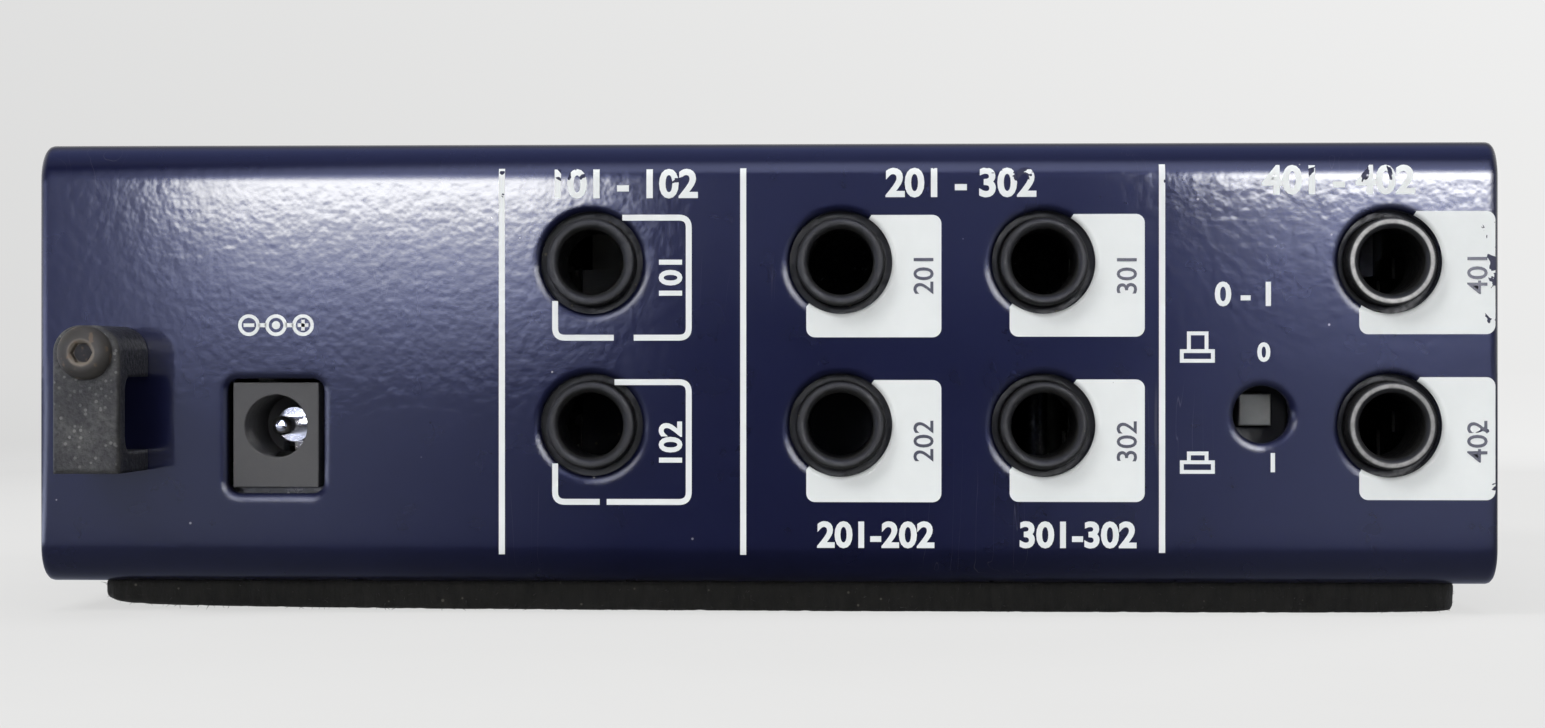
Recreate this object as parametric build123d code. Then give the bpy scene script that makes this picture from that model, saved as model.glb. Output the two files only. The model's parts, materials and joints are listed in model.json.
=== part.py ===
from build123d import *
from math import cos, pi, radians, sin, sqrt, tan
import os

# Desk-top studio monitor controller: a folded steel box with jacks behind and controls in front.
# Millimetres. +X is to the right seen from the front, +Y to the rear, +Z up.
# The origin is on the desk, under the middle of the box.

# Folded steel box
CASE_WIDTH = 148.0
CASE_HEIGHT = 45.0
CASE_DEPTH = 100.0
SHELL_GAUGE = 1.9
SHELL_BEND = 3.8
FRAME_GAUGE = 1.6
FRAME_BEND = 2.5
FRONT_RECESS = 2.0
SHEET_GAP = 0.15
HOLE_ROUND = 0.5

# Rubber pad under the base
PAD_THICKNESS = 3.0
PAD_SIDE_MARGIN = 4.0
PAD_END_MARGIN = 3.0
PAD_SHIFT = -1.0
PAD_CORNER = 3.0

# Angles that join the two sheets, and the machine screws used all over
BRACKET_GAUGE = 1.5
BRACKET_LEG = 10.0
BRACKET_LENGTH = 14.0
BRACKET_GAP = 0.1
BRACKET_SCREW_HEIGHT = 5.5
BASE_BRACKET_INSET = 18.1
TOP_BRACKET_GAP = 1.0
SCREW_RADIUS = 1.5
SCREW_HOLE_GAP = 0.2
THREAD_GAP = 0.05
HEAD_RADIUS = 2.65
HEAD_HEIGHT = 1.6
HEAD_ROUND = 1.2
SOCKET_WIDTH = 1.9
SOCKET_DEPTH = 1.0
SOCKET_RIM = 0.3
SCREW_TIP = 0.3
NUT_WIDTH = 5.5
NUT_THICKNESS = 2.4

# Circuit boards
BOARD_GAUGE = 1.6
BOARD_EDGE_GAP = 1.6
BOARD_SIDE_GAP = 2.2
UPPER_BOARD_MARGIN = 4.5
UPPER_BOARD_CUTBACK = 8.0
STANDOFF_WIDTH = 5.0
STANDOFF_FLOOR = 2.1
SCREW_END_GAP = 0.6
STANDOFF_REAR_INSET = 10.1
STANDOFF_EDGE = 5.0
STANDOFF_FRONT_INSET = 9.8
HEADER_WIDTH = 2.5
HEADER_LENGTH = 20.0
HEADER_X = 14.0
CHIP_SIZE = (6.4, 9.6, 3.6)
CHIP_NOTCH = 0.8
CHIP_PITCH = 10.5
CAN_RADIUS = 4.0
CAN_HEIGHT = 11.5
CAN_RIM = 0.6
CAN_PITCH = 9.0
PARTS_SETBACK = 12.0

# 6.35 mm jacks: steps between the columns of the rear panel, rows about its middle, and the housing
INPUT_INSET = 10.85
A_PITCH = 21.95
B_PITCH = 20.5
AUX_PITCH = 25.3
LOWER_ROW_DROP = 6.3
ROW_PITCH = 16.5
JACK_WIDTH = 13.0
JACK_HEIGHT = 12.6
JACK_DEPTH = 24.0
JACK_AXIS_HEIGHT = 6.4
JACK_ROUND = 0.8
JACK_SEAT_GAP = 0.3
JACK_BORE = 3.3
JACK_BORE_LENGTH = 9.4
JACK_MOUTH = 0.35
JACK_CHAMBER = 4.5
NOSE_RADIUS = 4.4
NOSE_PROUD = 1.2
NOSE_HOLE_GAP = 0.8
LEAF_GAUGE = 0.35
LEAF_WIDTH = 2.2
LEAF_WALL_GAP = 0.1
LEAF_LEVEL = 1.6
LEAF_RISE = 3.0
PLUG_GAP = 0.05
TAIL_WIDTH = 1.0
TAIL_SETBACK = 0.4
TAIL_STEP = 2.0
TAIL_GAP = 0.1
TAIL_REACH = 1.2

# Low-voltage power socket
DC_PITCH = 32.35
DC_WIDTH = 8.0
DC_HEIGHT = 10.3
DC_DEPTH = 13.0
DC_FACE_INSET = 0.4
DC_HOLE_RADIUS = 3.2
DC_HOLE_HEIGHT = 6.25
DC_HOLE_DEPTH = 10.0
DC_PIN_RADIUS = 1.0
DC_PIN_ROUND = 0.8
DC_PIN_INSET = 1.9
DC_COLLAR_RADIUS = 1.8
DC_COLLAR_LENGTH = 1.4
DC_PLUG_RADIUS = 2.75
DC_SLOT_WIDTH = 2.8
DC_SLOT_INSET = 2.5
DC_BLADE_RUN = 3.2
DC_BLADE_CREST = 6.2
DC_OPENING_WIDTH = 9.9
DC_OPENING_HEIGHT = 11.7
DC_OPENING_CORNER = 1.2
DC_OPENING_RISE = 0.1

# Recessed push switch
SWITCH_PITCH = 12.8
SWITCH_WIDTH = 8.0
SWITCH_HEIGHT = 12.0
SWITCH_SETBACK = 7.1
SWITCH_WALL = 2.0
SWITCH_AXIS_HEIGHT = 7.9
SWITCH_HOLE_RADIUS = 2.9
SWITCH_HOLE_DROP = 0.4
PLUNGER_WIDTH = 3.3
PLUNGER_ROUND = 0.2
PLUNGER_INSET = 4.8
PLUNGER_TRAVEL = 2.5
PLUNGER_GAP = 0.1
FLANGE_WIDTH = 4.8
FLANGE_LENGTH = 2.0
FLANGE_SEAT_GAP = 0.05
BOSS_RADIUS = 1.1
BOSS_LENGTH = 2.0
WELL_SPARE = 2.5
SPRING_RADIUS = 1.75
SPRING_WIRE = 0.2
SPRING_TURNS = 5
SPRING_SAMPLES = 120
SPRING_SEAT_GAP = 0.05

# Saddle that holds the power lead
CLAMP_PITCH = 16.35
CLAMP_INSET = 7.9
CLAMP_WIDTH = 6.6
CLAMP_DEPTH = 10.4
CLAMP_BAR = 2.2
CLAMP_BOTTOM = 11.6
CLAMP_FOOT = 2.1
CLAMP_CHANNEL = 7.4
CLAMP_TOP_FOOT = 5.1
CLAMP_SCREW_DROP = 2.7
CLAMP_CORNER = 1.5
CLAMP_ROUND = 0.4
CLAMP_SCREW_LENGTH = 16.0

# Front controls: what is behind the panel, and the nuts in front of it
FRONT_DEPTH = 10.0
FRONT_HOLE_GAP = 0.15
FRONT_BOARD_GAP = 3.1
FRONT_BOARD_MARGIN = 6.0
SHAFT_GAP = 0.05

# Volume pots and their knobs
MASTER_PITCH = 27.0
MASTER_HALF = 10.0
MASTER_BUSHING = 4.5
MASTER_KNOB_RADIUS = 13.0
MASTER_KNOB_LENGTH = 16.0
MASTER_FLUTES = 30
MASTER_POINTER = 8.7
PHONES_PITCH = 7.0
PHONES_RISE = 9.5
PHONES_HALF = 6.0
PHONES_BUSHING = 3.0
PHONES_KNOB_RADIUS = 7.5
PHONES_KNOB_LENGTH = 13.0
PHONES_FLUTES = 18
PHONES_POINTER = 5.0
POT_CORNER = 1.5
SHAFT_RADIUS = 3.0
SMALL_SHAFT_RADIUS = 2.0
SHAFT_FLAT = 0.5
SHAFT_SEAT = 2.0
POT_NUT_MARGIN = 1.6
POT_NUT_THICKNESS = 2.0
BUSHING_PROUD = 0.4
KNOB_GAP = 1.0
KNOB_FACE = 3.0
KNOB_ROUND = 1.0
KNOB_HOLLOW_GAP = 0.6
FLUTE_RADIUS = 0.7
FLUTE_DEPTH = 0.35
POINTER_WIDTH = 0.9
POINTER_DEPTH = 0.4

# Toggle switches
TOGGLE_INSET = 13.0
TOGGLE_PITCH = 13.0
MONITOR_PITCH = 23.0
MONITOR_DROP = 2.5
PHONES_TOGGLE_PITCH = 18.0
PHONES_DROP = 8.5
TOGGLE_WIDTH = 8.0
TOGGLE_HEIGHT = 13.0
TOGGLE_BUSHING = 3.0
TOGGLE_NUT_WIDTH = 8.0
TOGGLE_NUT_THICKNESS = 2.0
TOGGLE_PROUD = 1.6
LEVER_PIVOT = 2.6
LEVER_BALL = 1.6
LEVER_GAP = 0.15
LEVER_LENGTH = 10.5
LEVER_NECK = 1.1
LEVER_TIP = 1.6
LEVER_TAIL = 3.0
LEVER_TAIL_RADIUS = 0.9
LEVER_SWING = 12.5

# Headphone sockets and lamps
PHONES_JACK_PITCH = 21.0
PHONES_JACK_INSET = 10.0
JACK_NUT_RADIUS = 6.0
JACK_NUT_THICKNESS = 2.2
FRONT_NOSE_PROUD = 0.6
SMALL_JACK_PITCH = 3.0
SMALL_JACK_WIDTH = 8.0
SMALL_JACK_HEIGHT = 6.0
SMALL_NOSE_RADIUS = 2.7
SMALL_NOSE_PROUD = 0.8
SMALL_BORE = 1.8
SMALL_BACK = 1.0
SMALL_MOUTH = 0.25
LED_SPREAD = 5.0
LED_RISE = 8.5
LED_RADIUS = 1.5
LED_FLANGE = 0.4
LED_PROUD = 0.6
LED_LEG = 0.5
LED_LEG_PITCH = 1.27

# Slotted level trimmers under the top
TRIMMER_GAP = 0.9
TRIMMER_SIDE = 20.0
TRIMMER_NAMES = ("one", "two", "three", "four")
TRIMMER_WIDTH = 9.5
TRIMMER_DEPTH = 11.0
TRIMMER_HEIGHT = 6.8
TRIMMER_SHAFT = 3.0
TRIMMER_FLOOR = 1.5
TRIMMER_INSET = 0.4
TRIMMER_HOLE_GAP = 0.4
TRIMMER_SLOT_WIDTH = 0.8
TRIMMER_SLOT_DEPTH = 1.0

# Planes of the box
CASE_BOTTOM = PAD_THICKNESS
CASE_TOP = CASE_BOTTOM + CASE_HEIGHT
CASE_MID = CASE_BOTTOM + CASE_HEIGHT / 2
SIDE_FACE = CASE_WIDTH / 2
SIDE_INSIDE = SIDE_FACE - FRAME_GAUGE
REAR_FACE = CASE_DEPTH / 2
REAR_INSIDE = REAR_FACE - SHELL_GAUGE
FRONT_FACE = FRONT_RECESS - CASE_DEPTH / 2
FRONT_INSIDE = FRONT_FACE + FRAME_GAUGE
BASE_INSIDE = CASE_BOTTOM + SHELL_GAUGE
TOP_INSIDE = CASE_TOP - SHELL_GAUGE

# Columns of both panels: their steps share out the width of the box
REAR_STEPS = (INPUT_INSET, SWITCH_PITCH, A_PITCH, B_PITCH, AUX_PITCH, DC_PITCH, CLAMP_PITCH, CLAMP_INSET)
REAR_SPREAD = CASE_WIDTH / sum(REAR_STEPS)
INPUT_COLUMN = REAR_SPREAD * INPUT_INSET - SIDE_FACE
SWITCH_X = INPUT_COLUMN + REAR_SPREAD * SWITCH_PITCH
A_COLUMN = SWITCH_X + REAR_SPREAD * A_PITCH
B_COLUMN = A_COLUMN + REAR_SPREAD * B_PITCH
AUX_COLUMN = B_COLUMN + REAR_SPREAD * AUX_PITCH
DC_X = AUX_COLUMN + REAR_SPREAD * DC_PITCH
CLAMP_X = DC_X + REAR_SPREAD * CLAMP_PITCH
TOGGLE_STEPS = (TOGGLE_INSET, TOGGLE_PITCH, TOGGLE_PITCH, MASTER_PITCH, MONITOR_PITCH)
PHONES_STEPS = (PHONES_TOGGLE_PITCH, PHONES_PITCH, SMALL_JACK_PITCH, PHONES_JACK_PITCH, PHONES_JACK_INSET)
FRONT_SPREAD = CASE_WIDTH / sum(TOGGLE_STEPS + PHONES_STEPS)
DIM_X = FRONT_SPREAD * TOGGLE_INSET - SIDE_FACE
MONO_X = DIM_X + FRONT_SPREAD * TOGGLE_PITCH
SUB_X = MONO_X + FRONT_SPREAD * TOGGLE_PITCH
MASTER_X = SUB_X + FRONT_SPREAD * MASTER_PITCH
MONITOR_X = MASTER_X + FRONT_SPREAD * MONITOR_PITCH
PHONES_TOGGLE_X = MONITOR_X + FRONT_SPREAD * PHONES_TOGGLE_PITCH
PHONES_X = PHONES_TOGGLE_X + FRONT_SPREAD * PHONES_PITCH
SMALL_JACK_X = PHONES_X + FRONT_SPREAD * SMALL_JACK_PITCH
PHONES_JACK_X = SMALL_JACK_X + FRONT_SPREAD * PHONES_JACK_PITCH

# Rows, and the boards that carry them
LOWER_AXIS = CASE_MID - LOWER_ROW_DROP
UPPER_AXIS = LOWER_AXIS + ROW_PITCH
MAIN_TOP = LOWER_AXIS - JACK_AXIS_HEIGHT
UPPER_TOP = UPPER_AXIS - JACK_AXIS_HEIGHT
JACK_SEAT = REAR_INSIDE - JACK_SEAT_GAP
JACK_REACH = JACK_DEPTH + TAIL_SETBACK + TAIL_WIDTH + TAIL_STEP
REAR_NOSE = JACK_SEAT_GAP + SHELL_GAUGE + NOSE_PROUD
FRONT_NOSE = FRAME_GAUGE + JACK_NUT_THICKNESS + FRONT_NOSE_PROUD
TAIL_BOTTOM = BOARD_GAUGE + TAIL_REACH
DC_FACE = REAR_FACE - DC_FACE_INSET
DC_AXIS = MAIN_TOP + DC_HOLE_HEIGHT
SWITCH_FACE = REAR_INSIDE - SWITCH_SETBACK
SWITCH_AXIS = MAIN_TOP + SWITCH_AXIS_HEIGHT
SPRING_LENGTH = BOSS_LENGTH + PLUNGER_TRAVEL + WELL_SPARE
FRONT_BOARD_Y = FRONT_INSIDE + FRONT_DEPTH
TRIMMER_Y = JACK_SEAT - JACK_REACH - TRIMMER_GAP - TRIMMER_DEPTH / 2
TRIMMER_SPREAD = 2 * (SIDE_FACE - TRIMMER_SIDE) / (len(TRIMMER_NAMES) - 1)
TRIMMER_XS = [TRIMMER_SIDE - SIDE_FACE + TRIMMER_SPREAD * step for step in range(len(TRIMMER_NAMES))]
UPPER_BOARD_FRONT = TRIMMER_Y - TRIMMER_DEPTH / 2 - UPPER_BOARD_MARGIN
PARTS_Y = UPPER_BOARD_FRONT - PARTS_SETBACK
STUD_LENGTH = MAIN_TOP - BOARD_GAUGE - BASE_INSIDE - STANDOFF_FLOOR
BOARD_SCREW_LENGTH = BOARD_GAUGE + STUD_LENGTH - SCREW_END_GAP
STANDOFF_LEFT = (A_COLUMN - JACK_WIDTH / 2 + SWITCH_X + SWITCH_WIDTH / 2) / 2
STANDOFF_RIGHT = (AUX_COLUMN + JACK_WIDTH / 2 + DC_X - DC_WIDTH / 2) / 2
STANDOFF_REAR_Y = REAR_INSIDE - STANDOFF_REAR_INSET
STANDOFF_MID_Y = UPPER_BOARD_FRONT + STANDOFF_EDGE
STANDOFF_FRONT_Y = FRONT_BOARD_Y + BOARD_GAUGE + STANDOFF_FRONT_INSET
CASE_SCREW_LENGTH = FRAME_GAUGE + BRACKET_GAP + BRACKET_GAUGE + SCREW_TIP
BASE_BRACKET_Y = REAR_INSIDE - BASE_BRACKET_INSET
TOP_BRACKET_Y = FRONT_INSIDE + JACK_REACH + TOP_BRACKET_GAP + BRACKET_LENGTH / 2

# Centres of the rear jacks, and of the front controls
REAR_JACKS = {
    "aux_left_jack": (AUX_COLUMN, UPPER_AXIS),
    "aux_right_jack": (AUX_COLUMN, LOWER_AXIS),
    "b_left_jack": (B_COLUMN, UPPER_AXIS),
    "b_right_jack": (B_COLUMN, LOWER_AXIS),
    "a_left_jack": (A_COLUMN, UPPER_AXIS),
    "a_right_jack": (A_COLUMN, LOWER_AXIS),
    "input_left_jack": (INPUT_COLUMN, UPPER_AXIS),
    "input_right_jack": (INPUT_COLUMN, LOWER_AXIS),
}
PHONES_JACKS = {
    "phones_jack_one": (PHONES_JACK_X, UPPER_AXIS),
    "phones_jack_two": (PHONES_JACK_X, LOWER_AXIS),
}
TOGGLES = {
    "dim_lever": (DIM_X, CASE_MID),
    "mono_lever": (MONO_X, CASE_MID),
    "sub_lever": (SUB_X, CASE_MID),
    "monitor_lever": (MONITOR_X, CASE_MID - MONITOR_DROP),
    "phones_lever": (PHONES_TOGGLE_X, CASE_MID - PHONES_DROP),
}
MASTER = (MASTER_X, CASE_MID)
PHONES = (PHONES_X, CASE_MID + PHONES_RISE)
SMALL_JACK = (SMALL_JACK_X, CASE_MID - PHONES_DROP)
LEDS = [(MONITOR_X + side * LED_SPREAD, CASE_MID + LED_RISE) for side in (-1, 1)]
LOWER_POSTS = [
    (x, y)
    for x in (STANDOFF_LEFT, STANDOFF_RIGHT)
    for y in (STANDOFF_FRONT_Y, STANDOFF_MID_Y, STANDOFF_REAR_Y)
]
UPPER_POSTS = [(x, y) for x, y in LOWER_POSTS if y > UPPER_BOARD_FRONT]


def block(x, y, z):
    """A box between three pairs of coordinates."""
    size = (x[1] - x[0], y[1] - y[0], z[1] - z[0])
    return Pos(x[0], y[0], z[0]) * Box(*size, align=(Align.MIN, Align.MIN, Align.MIN))


def rod(radius, y_from, y_to):
    """A cylinder along Y, about the Y axis."""
    upright = Cylinder(radius, y_to - y_from, align=(Align.CENTER, Align.CENTER, Align.MIN))
    return Pos(0, y_from, 0) * Rot(-90, 0, 0) * upright


def funnel(radius_from, radius_to, y_from, y_to):
    """A cone along Y, about the Y axis."""
    upright = Cone(radius_from, radius_to, y_to - y_from, align=(Align.CENTER, Align.CENTER, Align.MIN))
    return Pos(0, y_from, 0) * Rot(-90, 0, 0) * upright


def hex_rod(width, y_from, y_to):
    """A hexagon prism along Y, given across its flats."""
    outline = RegularPolygon(width / 2, 6, major_radius=False)
    return Pos(0, y_from, 0) * Rot(-90, 0, 0) * extrude(outline, y_to - y_from)


def upright(shape):
    """Turn a piece modelled along +Y so that it points along +Z."""
    return Rot(90, 0, 0) * shape


def at_front(place):
    """Location of a front control: its +Y points out of the front panel from its inner face."""
    return Location((place[0], FRONT_INSIDE, place[1])) * Rot(0, 0, 180)


def at_rear(place, y=JACK_SEAT):
    """Location of a rear socket: its +Y points out of the rear panel."""
    return Location((place[0], y, place[1]))


def channel_profile(length, height, gauge, bend):
    """Section of a sheet bent twice into a C that opens towards -X, its web's outer face at X = 0."""
    half = height / 2
    inside = half - gauge
    outer = FilletPolyline((-length, half), (0, half), (0, -half), (-length, -half), radius=bend)
    inner = FilletPolyline(
        (-length, inside), (-gauge, inside), (-gauge, -inside), (-length, -inside), radius=bend - gauge
    )
    ends = [Line(outer @ 0, inner @ 0), Line(outer @ 1, inner @ 1)]
    return make_face(outer.edges() + inner.edges() + [end.edge() for end in ends])


def button_screw(length):
    """Button-head machine screw with a hexagon socket, head seated at Y = 0."""
    head = rod(HEAD_RADIUS, 0, HEAD_HEIGHT)
    head = fillet(head.edges().sort_by(Axis.Y)[-1], HEAD_ROUND)
    socket = hex_rod(SOCKET_WIDTH, HEAD_HEIGHT - SOCKET_DEPTH, HEAD_HEIGHT)
    rim_radius = SOCKET_WIDTH / 2 + SOCKET_RIM
    rim = funnel(SOCKET_WIDTH / 2, rim_radius, HEAD_HEIGHT - SOCKET_RIM, HEAD_HEIGHT)
    return head + rod(SCREW_RADIUS, -length, 0) - socket - rim


# Folded steel box


def make_rear_shell():
    """Top, rear panel and base, bent from one sheet."""
    profile = channel_profile(CASE_DEPTH, CASE_HEIGHT, SHELL_GAUGE, SHELL_BEND)
    sheet = extrude(Plane.YZ * Pos(REAR_FACE, CASE_MID) * profile, CASE_WIDTH / 2, both=True)
    through = (REAR_INSIDE, REAR_FACE)
    nose_hole = rod(NOSE_RADIUS + NOSE_HOLE_GAP, *through)
    cuts = [Pos(x, 0, z) * nose_hole for x, z in REAR_JACKS.values()]
    cuts.append(Pos(SWITCH_X, 0, SWITCH_AXIS - SWITCH_HOLE_DROP) * rod(SWITCH_HOLE_RADIUS, *through))
    opening = RectangleRounded(DC_OPENING_WIDTH, DC_OPENING_HEIGHT, DC_OPENING_CORNER)
    opening_z = MAIN_TOP + DC_HEIGHT / 2 + DC_OPENING_RISE
    cuts.append(Pos(DC_X, REAR_INSIDE, opening_z) * Rot(-90, 0, 0) * extrude(opening, SHELL_GAUGE))
    sheet -= cuts
    rims = sheet.faces().sort_by(Axis.Y)[-1].inner_wires().edges()
    sheet = fillet(rims, HOLE_ROUND)
    sheet -= Pos(CLAMP_X, 0, clamp_screw_height()) * rod(SCREW_RADIUS + SCREW_HOLE_GAP, *through)
    trimmer_hole = Cylinder(TRIMMER_SHAFT + TRIMMER_HOLE_GAP, 2 * SHELL_GAUGE)
    return sheet - [Pos(x, TRIMMER_Y, TOP_INSIDE + SHELL_GAUGE / 2) * trimmer_hole for x in TRIMMER_XS]


def make_front_frame():
    """Front panel and both sides, bent from one sheet, between the shell's top and base."""
    length = REAR_INSIDE - SHEET_GAP - FRONT_FACE
    profile = channel_profile(length, CASE_WIDTH, FRAME_GAUGE, FRAME_BEND)
    low = BASE_INSIDE + SHEET_GAP
    high = TOP_INSIDE - SHEET_GAP
    frame = extrude(Pos(0, FRONT_FACE, low) * Rot(0, 0, -90) * profile, high - low)
    rear_corners = frame.edges().filter_by(Axis.X).group_by(Axis.Y)[-1]
    frame = fillet(rear_corners, SHELL_BEND - SHELL_GAUGE)
    holes = [(place, TOGGLE_BUSHING) for place in TOGGLES.values()]
    holes += [(place, NOSE_RADIUS) for place in PHONES_JACKS.values()]
    holes += [(place, LED_RADIUS) for place in LEDS]
    holes += [(MASTER, MASTER_BUSHING), (PHONES, PHONES_BUSHING), (SMALL_JACK, SMALL_NOSE_RADIUS)]
    cuts = [at_front(place) * rod(radius + FRONT_HOLE_GAP, 0, FRAME_GAUGE) for place, radius in holes]
    screw_hole = rod(SCREW_RADIUS + SCREW_HOLE_GAP, -FRAME_GAUGE, 0)
    cuts += [place * screw_hole for place in case_screw_places()]
    return frame - cuts


def bracket_places():
    """Side, Y and whether the angle is under the top, for each of the four angles."""
    levels = ((BASE_BRACKET_Y, False), (TOP_BRACKET_Y, True))
    return [(side, y, top) for side in (-1, 1) for y, top in levels]


def case_screw_places():
    """Locations with +Y out of the box's sides, at the screw holes."""
    places = []
    for side, y, top in bracket_places():
        z = TOP_INSIDE - BRACKET_SCREW_HEIGHT if top else BASE_INSIDE + BRACKET_SCREW_HEIGHT
        places.append(Location((side * SIDE_FACE, y, z)) * Rot(0, 0, -90 * side))
    return places


def make_side_brackets():
    """Angles welded inside the shell, with a tapped hole in the leg along the side."""
    outer = SIDE_INSIDE - BRACKET_GAP
    inner = outer - BRACKET_LEG
    brackets = []
    for side, y, top in bracket_places():
        floor = TOP_INSIDE if top else BASE_INSIDE
        up = -1 if top else 1
        corners = [
            (outer, floor),
            (inner, floor),
            (inner, floor + up * BRACKET_GAUGE),
            (outer - BRACKET_GAUGE, floor + up * BRACKET_GAUGE),
            (outer - BRACKET_GAUGE, floor + up * BRACKET_LEG),
            (outer, floor + up * BRACKET_LEG),
        ]
        section = Polyline(*[(side * x, z) for x, z in corners], close=True)
        angle = extrude(Plane.XZ.offset(-y) * make_face(section.edges()), BRACKET_LENGTH / 2, both=True)
        brackets.append(angle)
    tapped = rod(SCREW_RADIUS + THREAD_GAP, -BRACKET_LEG, 0)
    return [angle - place * tapped for angle, place in zip(brackets, case_screw_places())]


def make_base_pad():
    """Plain rubber pad that the box stands on."""
    width = CASE_WIDTH - 2 * PAD_SIDE_MARGIN
    depth = CASE_DEPTH - 2 * PAD_END_MARGIN
    outline = RectangleRounded(width, depth, PAD_CORNER)
    return Pos(PAD_SHIFT, 0, 0) * extrude(outline, PAD_THICKNESS)


# Saddle for the power lead


def clamp_height():
    return CLAMP_FOOT + CLAMP_CHANNEL + CLAMP_TOP_FOOT


def clamp_screw_height():
    return CASE_BOTTOM + CLAMP_BOTTOM + clamp_height() - CLAMP_SCREW_DROP


def make_cable_clamp():
    """Moulded saddle: two feet on the rear panel and a bar across, round at its screwed end."""
    low = CASE_BOTTOM + CLAMP_BOTTOM
    half = CLAMP_WIDTH / 2
    front = REAR_FACE + CLAMP_DEPTH
    saddle = block((-half, half), (REAR_FACE, front), (low, low + clamp_height()))
    saddle = fillet(saddle.edges().filter_by(Axis.Y).group_by(Axis.Z)[-1], CLAMP_SCREW_DROP)
    saddle = fillet(saddle.faces().sort_by(Axis.Y)[-1].edges(), CLAMP_ROUND)
    floor = low + CLAMP_FOOT
    channel = block((-half, half), (REAR_FACE, front - CLAMP_BAR), (floor, floor + CLAMP_CHANNEL))
    channel = fillet(channel.edges().filter_by(Axis.X).group_by(Axis.Y)[-1], CLAMP_CORNER)
    hole = Pos(0, 0, clamp_screw_height()) * rod(SCREW_RADIUS + SCREW_HOLE_GAP, REAR_FACE, front)
    return Pos(CLAMP_X, 0, 0) * (saddle - channel - hole)


def make_clamp_nut():
    nut = hex_rod(NUT_WIDTH, -NUT_THICKNESS, 0) - rod(SCREW_RADIUS + THREAD_GAP, -NUT_THICKNESS, 0)
    return at_rear((CLAMP_X, clamp_screw_height()), REAR_INSIDE) * nut


# Jacks and their leaf springs


def make_jack_housing(nose_length):
    """Moulded jack, its face at Y = 0, its nose along +Y and its spring chamber open behind."""
    half = JACK_WIDTH / 2
    body = block((-half, half), (-JACK_DEPTH, 0), (-JACK_AXIS_HEIGHT, JACK_HEIGHT - JACK_AXIS_HEIGHT))
    body = fillet(body.edges().filter_by(Axis.Y), JACK_ROUND)
    bore_end = nose_length - JACK_BORE_LENGTH
    side = (-JACK_CHAMBER, JACK_CHAMBER)
    cuts = [
        rod(JACK_BORE, bore_end, nose_length),
        funnel(JACK_BORE, JACK_BORE + JACK_MOUTH, nose_length - JACK_MOUTH, nose_length),
        block(side, (-JACK_DEPTH, bore_end), side),
    ]
    return body + rod(NOSE_RADIUS, 0, nose_length) - cuts


def leaf_face():
    """Distance of a leaf's inner face from the jack's axis, where it lies along the chamber wall."""
    return JACK_CHAMBER - LEAF_WALL_GAP - LEAF_GAUGE


def jack_tails():
    """Side and tail end of the tip, ring and sleeve springs of one jack."""
    near = -JACK_DEPTH - TAIL_SETBACK - TAIL_WIDTH
    return {"tip": (-1, near), "ring": (1, near - TAIL_STEP), "sleeve": (1, near)}


def make_jack_contacts():
    """Tip, ring and sleeve springs: each a leaf with a hump towards the plug and a tail to solder."""
    levels = {"tip": 0, "ring": LEAF_LEVEL, "sleeve": -LEAF_LEVEL}
    wall = leaf_face()
    chamber = JACK_DEPTH + REAR_NOSE - JACK_BORE_LENGTH
    spacing = chamber / (len(levels) + 1)
    contacts = []
    for step, (name, (side, end)) in enumerate(jack_tails().items(), 1):
        hump = step * spacing - JACK_DEPTH
        path = [
            (wall, end),
            (wall, hump - LEAF_RISE),
            (JACK_BORE + PLUG_GAP, hump),
            (wall, hump + LEAF_RISE),
        ]
        back = [(x + LEAF_GAUGE, y) for x, y in reversed(path)]
        outline = Polyline(*[(side * x, y) for x, y in path + back], close=True)
        leaf = extrude(make_face(outline.edges()), LEAF_WIDTH / 2, both=True)
        leaf = Pos(0, 0, levels[name]) * leaf
        tail_x = sorted((side * wall, side * (wall + LEAF_GAUGE)))
        tail_z = (-JACK_AXIS_HEIGHT - TAIL_BOTTOM, levels[name])
        contacts.append(leaf + block(tail_x, (end, end + TAIL_WIDTH), tail_z))
    return contacts


def make_tail_slots():
    """Holes in the board for one jack's three tails."""
    slots = []
    for side, end in jack_tails().values():
        edges = sorted((side * leaf_face(), side * (leaf_face() + LEAF_GAUGE)))
        x = (edges[0] - TAIL_GAP, edges[1] + TAIL_GAP)
        y = (end - TAIL_GAP, end + TAIL_WIDTH + TAIL_GAP)
        slots.append(block(x, y, (-JACK_AXIS_HEIGHT - BOARD_GAUGE, -JACK_AXIS_HEIGHT)))
    return slots


# Power socket


def make_dc_housing():
    """Moulded socket with a round mouth and a slot below it for the sleeve spring."""
    half = DC_WIDTH / 2
    back = DC_FACE - DC_DEPTH
    body = block((-half, half), (back, DC_FACE), (MAIN_TOP, MAIN_TOP + DC_HEIGHT))
    mouth = Pos(0, 0, DC_AXIS) * rod(DC_HOLE_RADIUS, DC_FACE - DC_HOLE_DEPTH, DC_FACE)
    stub = Pos(0, 0, DC_AXIS) * rod(DC_PIN_RADIUS + THREAD_GAP, back, DC_FACE)
    slot_half = DC_SLOT_WIDTH / 2
    slot_z = (MAIN_TOP, DC_AXIS - DC_COLLAR_RADIUS)
    slot = block((-slot_half, slot_half), (back, DC_FACE - DC_SLOT_INSET), slot_z)
    return Pos(DC_X, 0, 0) * (body - mouth - stub - slot)


def dc_lug_y():
    """Both faces of the pin's solder lug, behind the socket."""
    back = DC_FACE - DC_DEPTH - TAIL_SETBACK
    return back - LEAF_GAUGE, back


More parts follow.
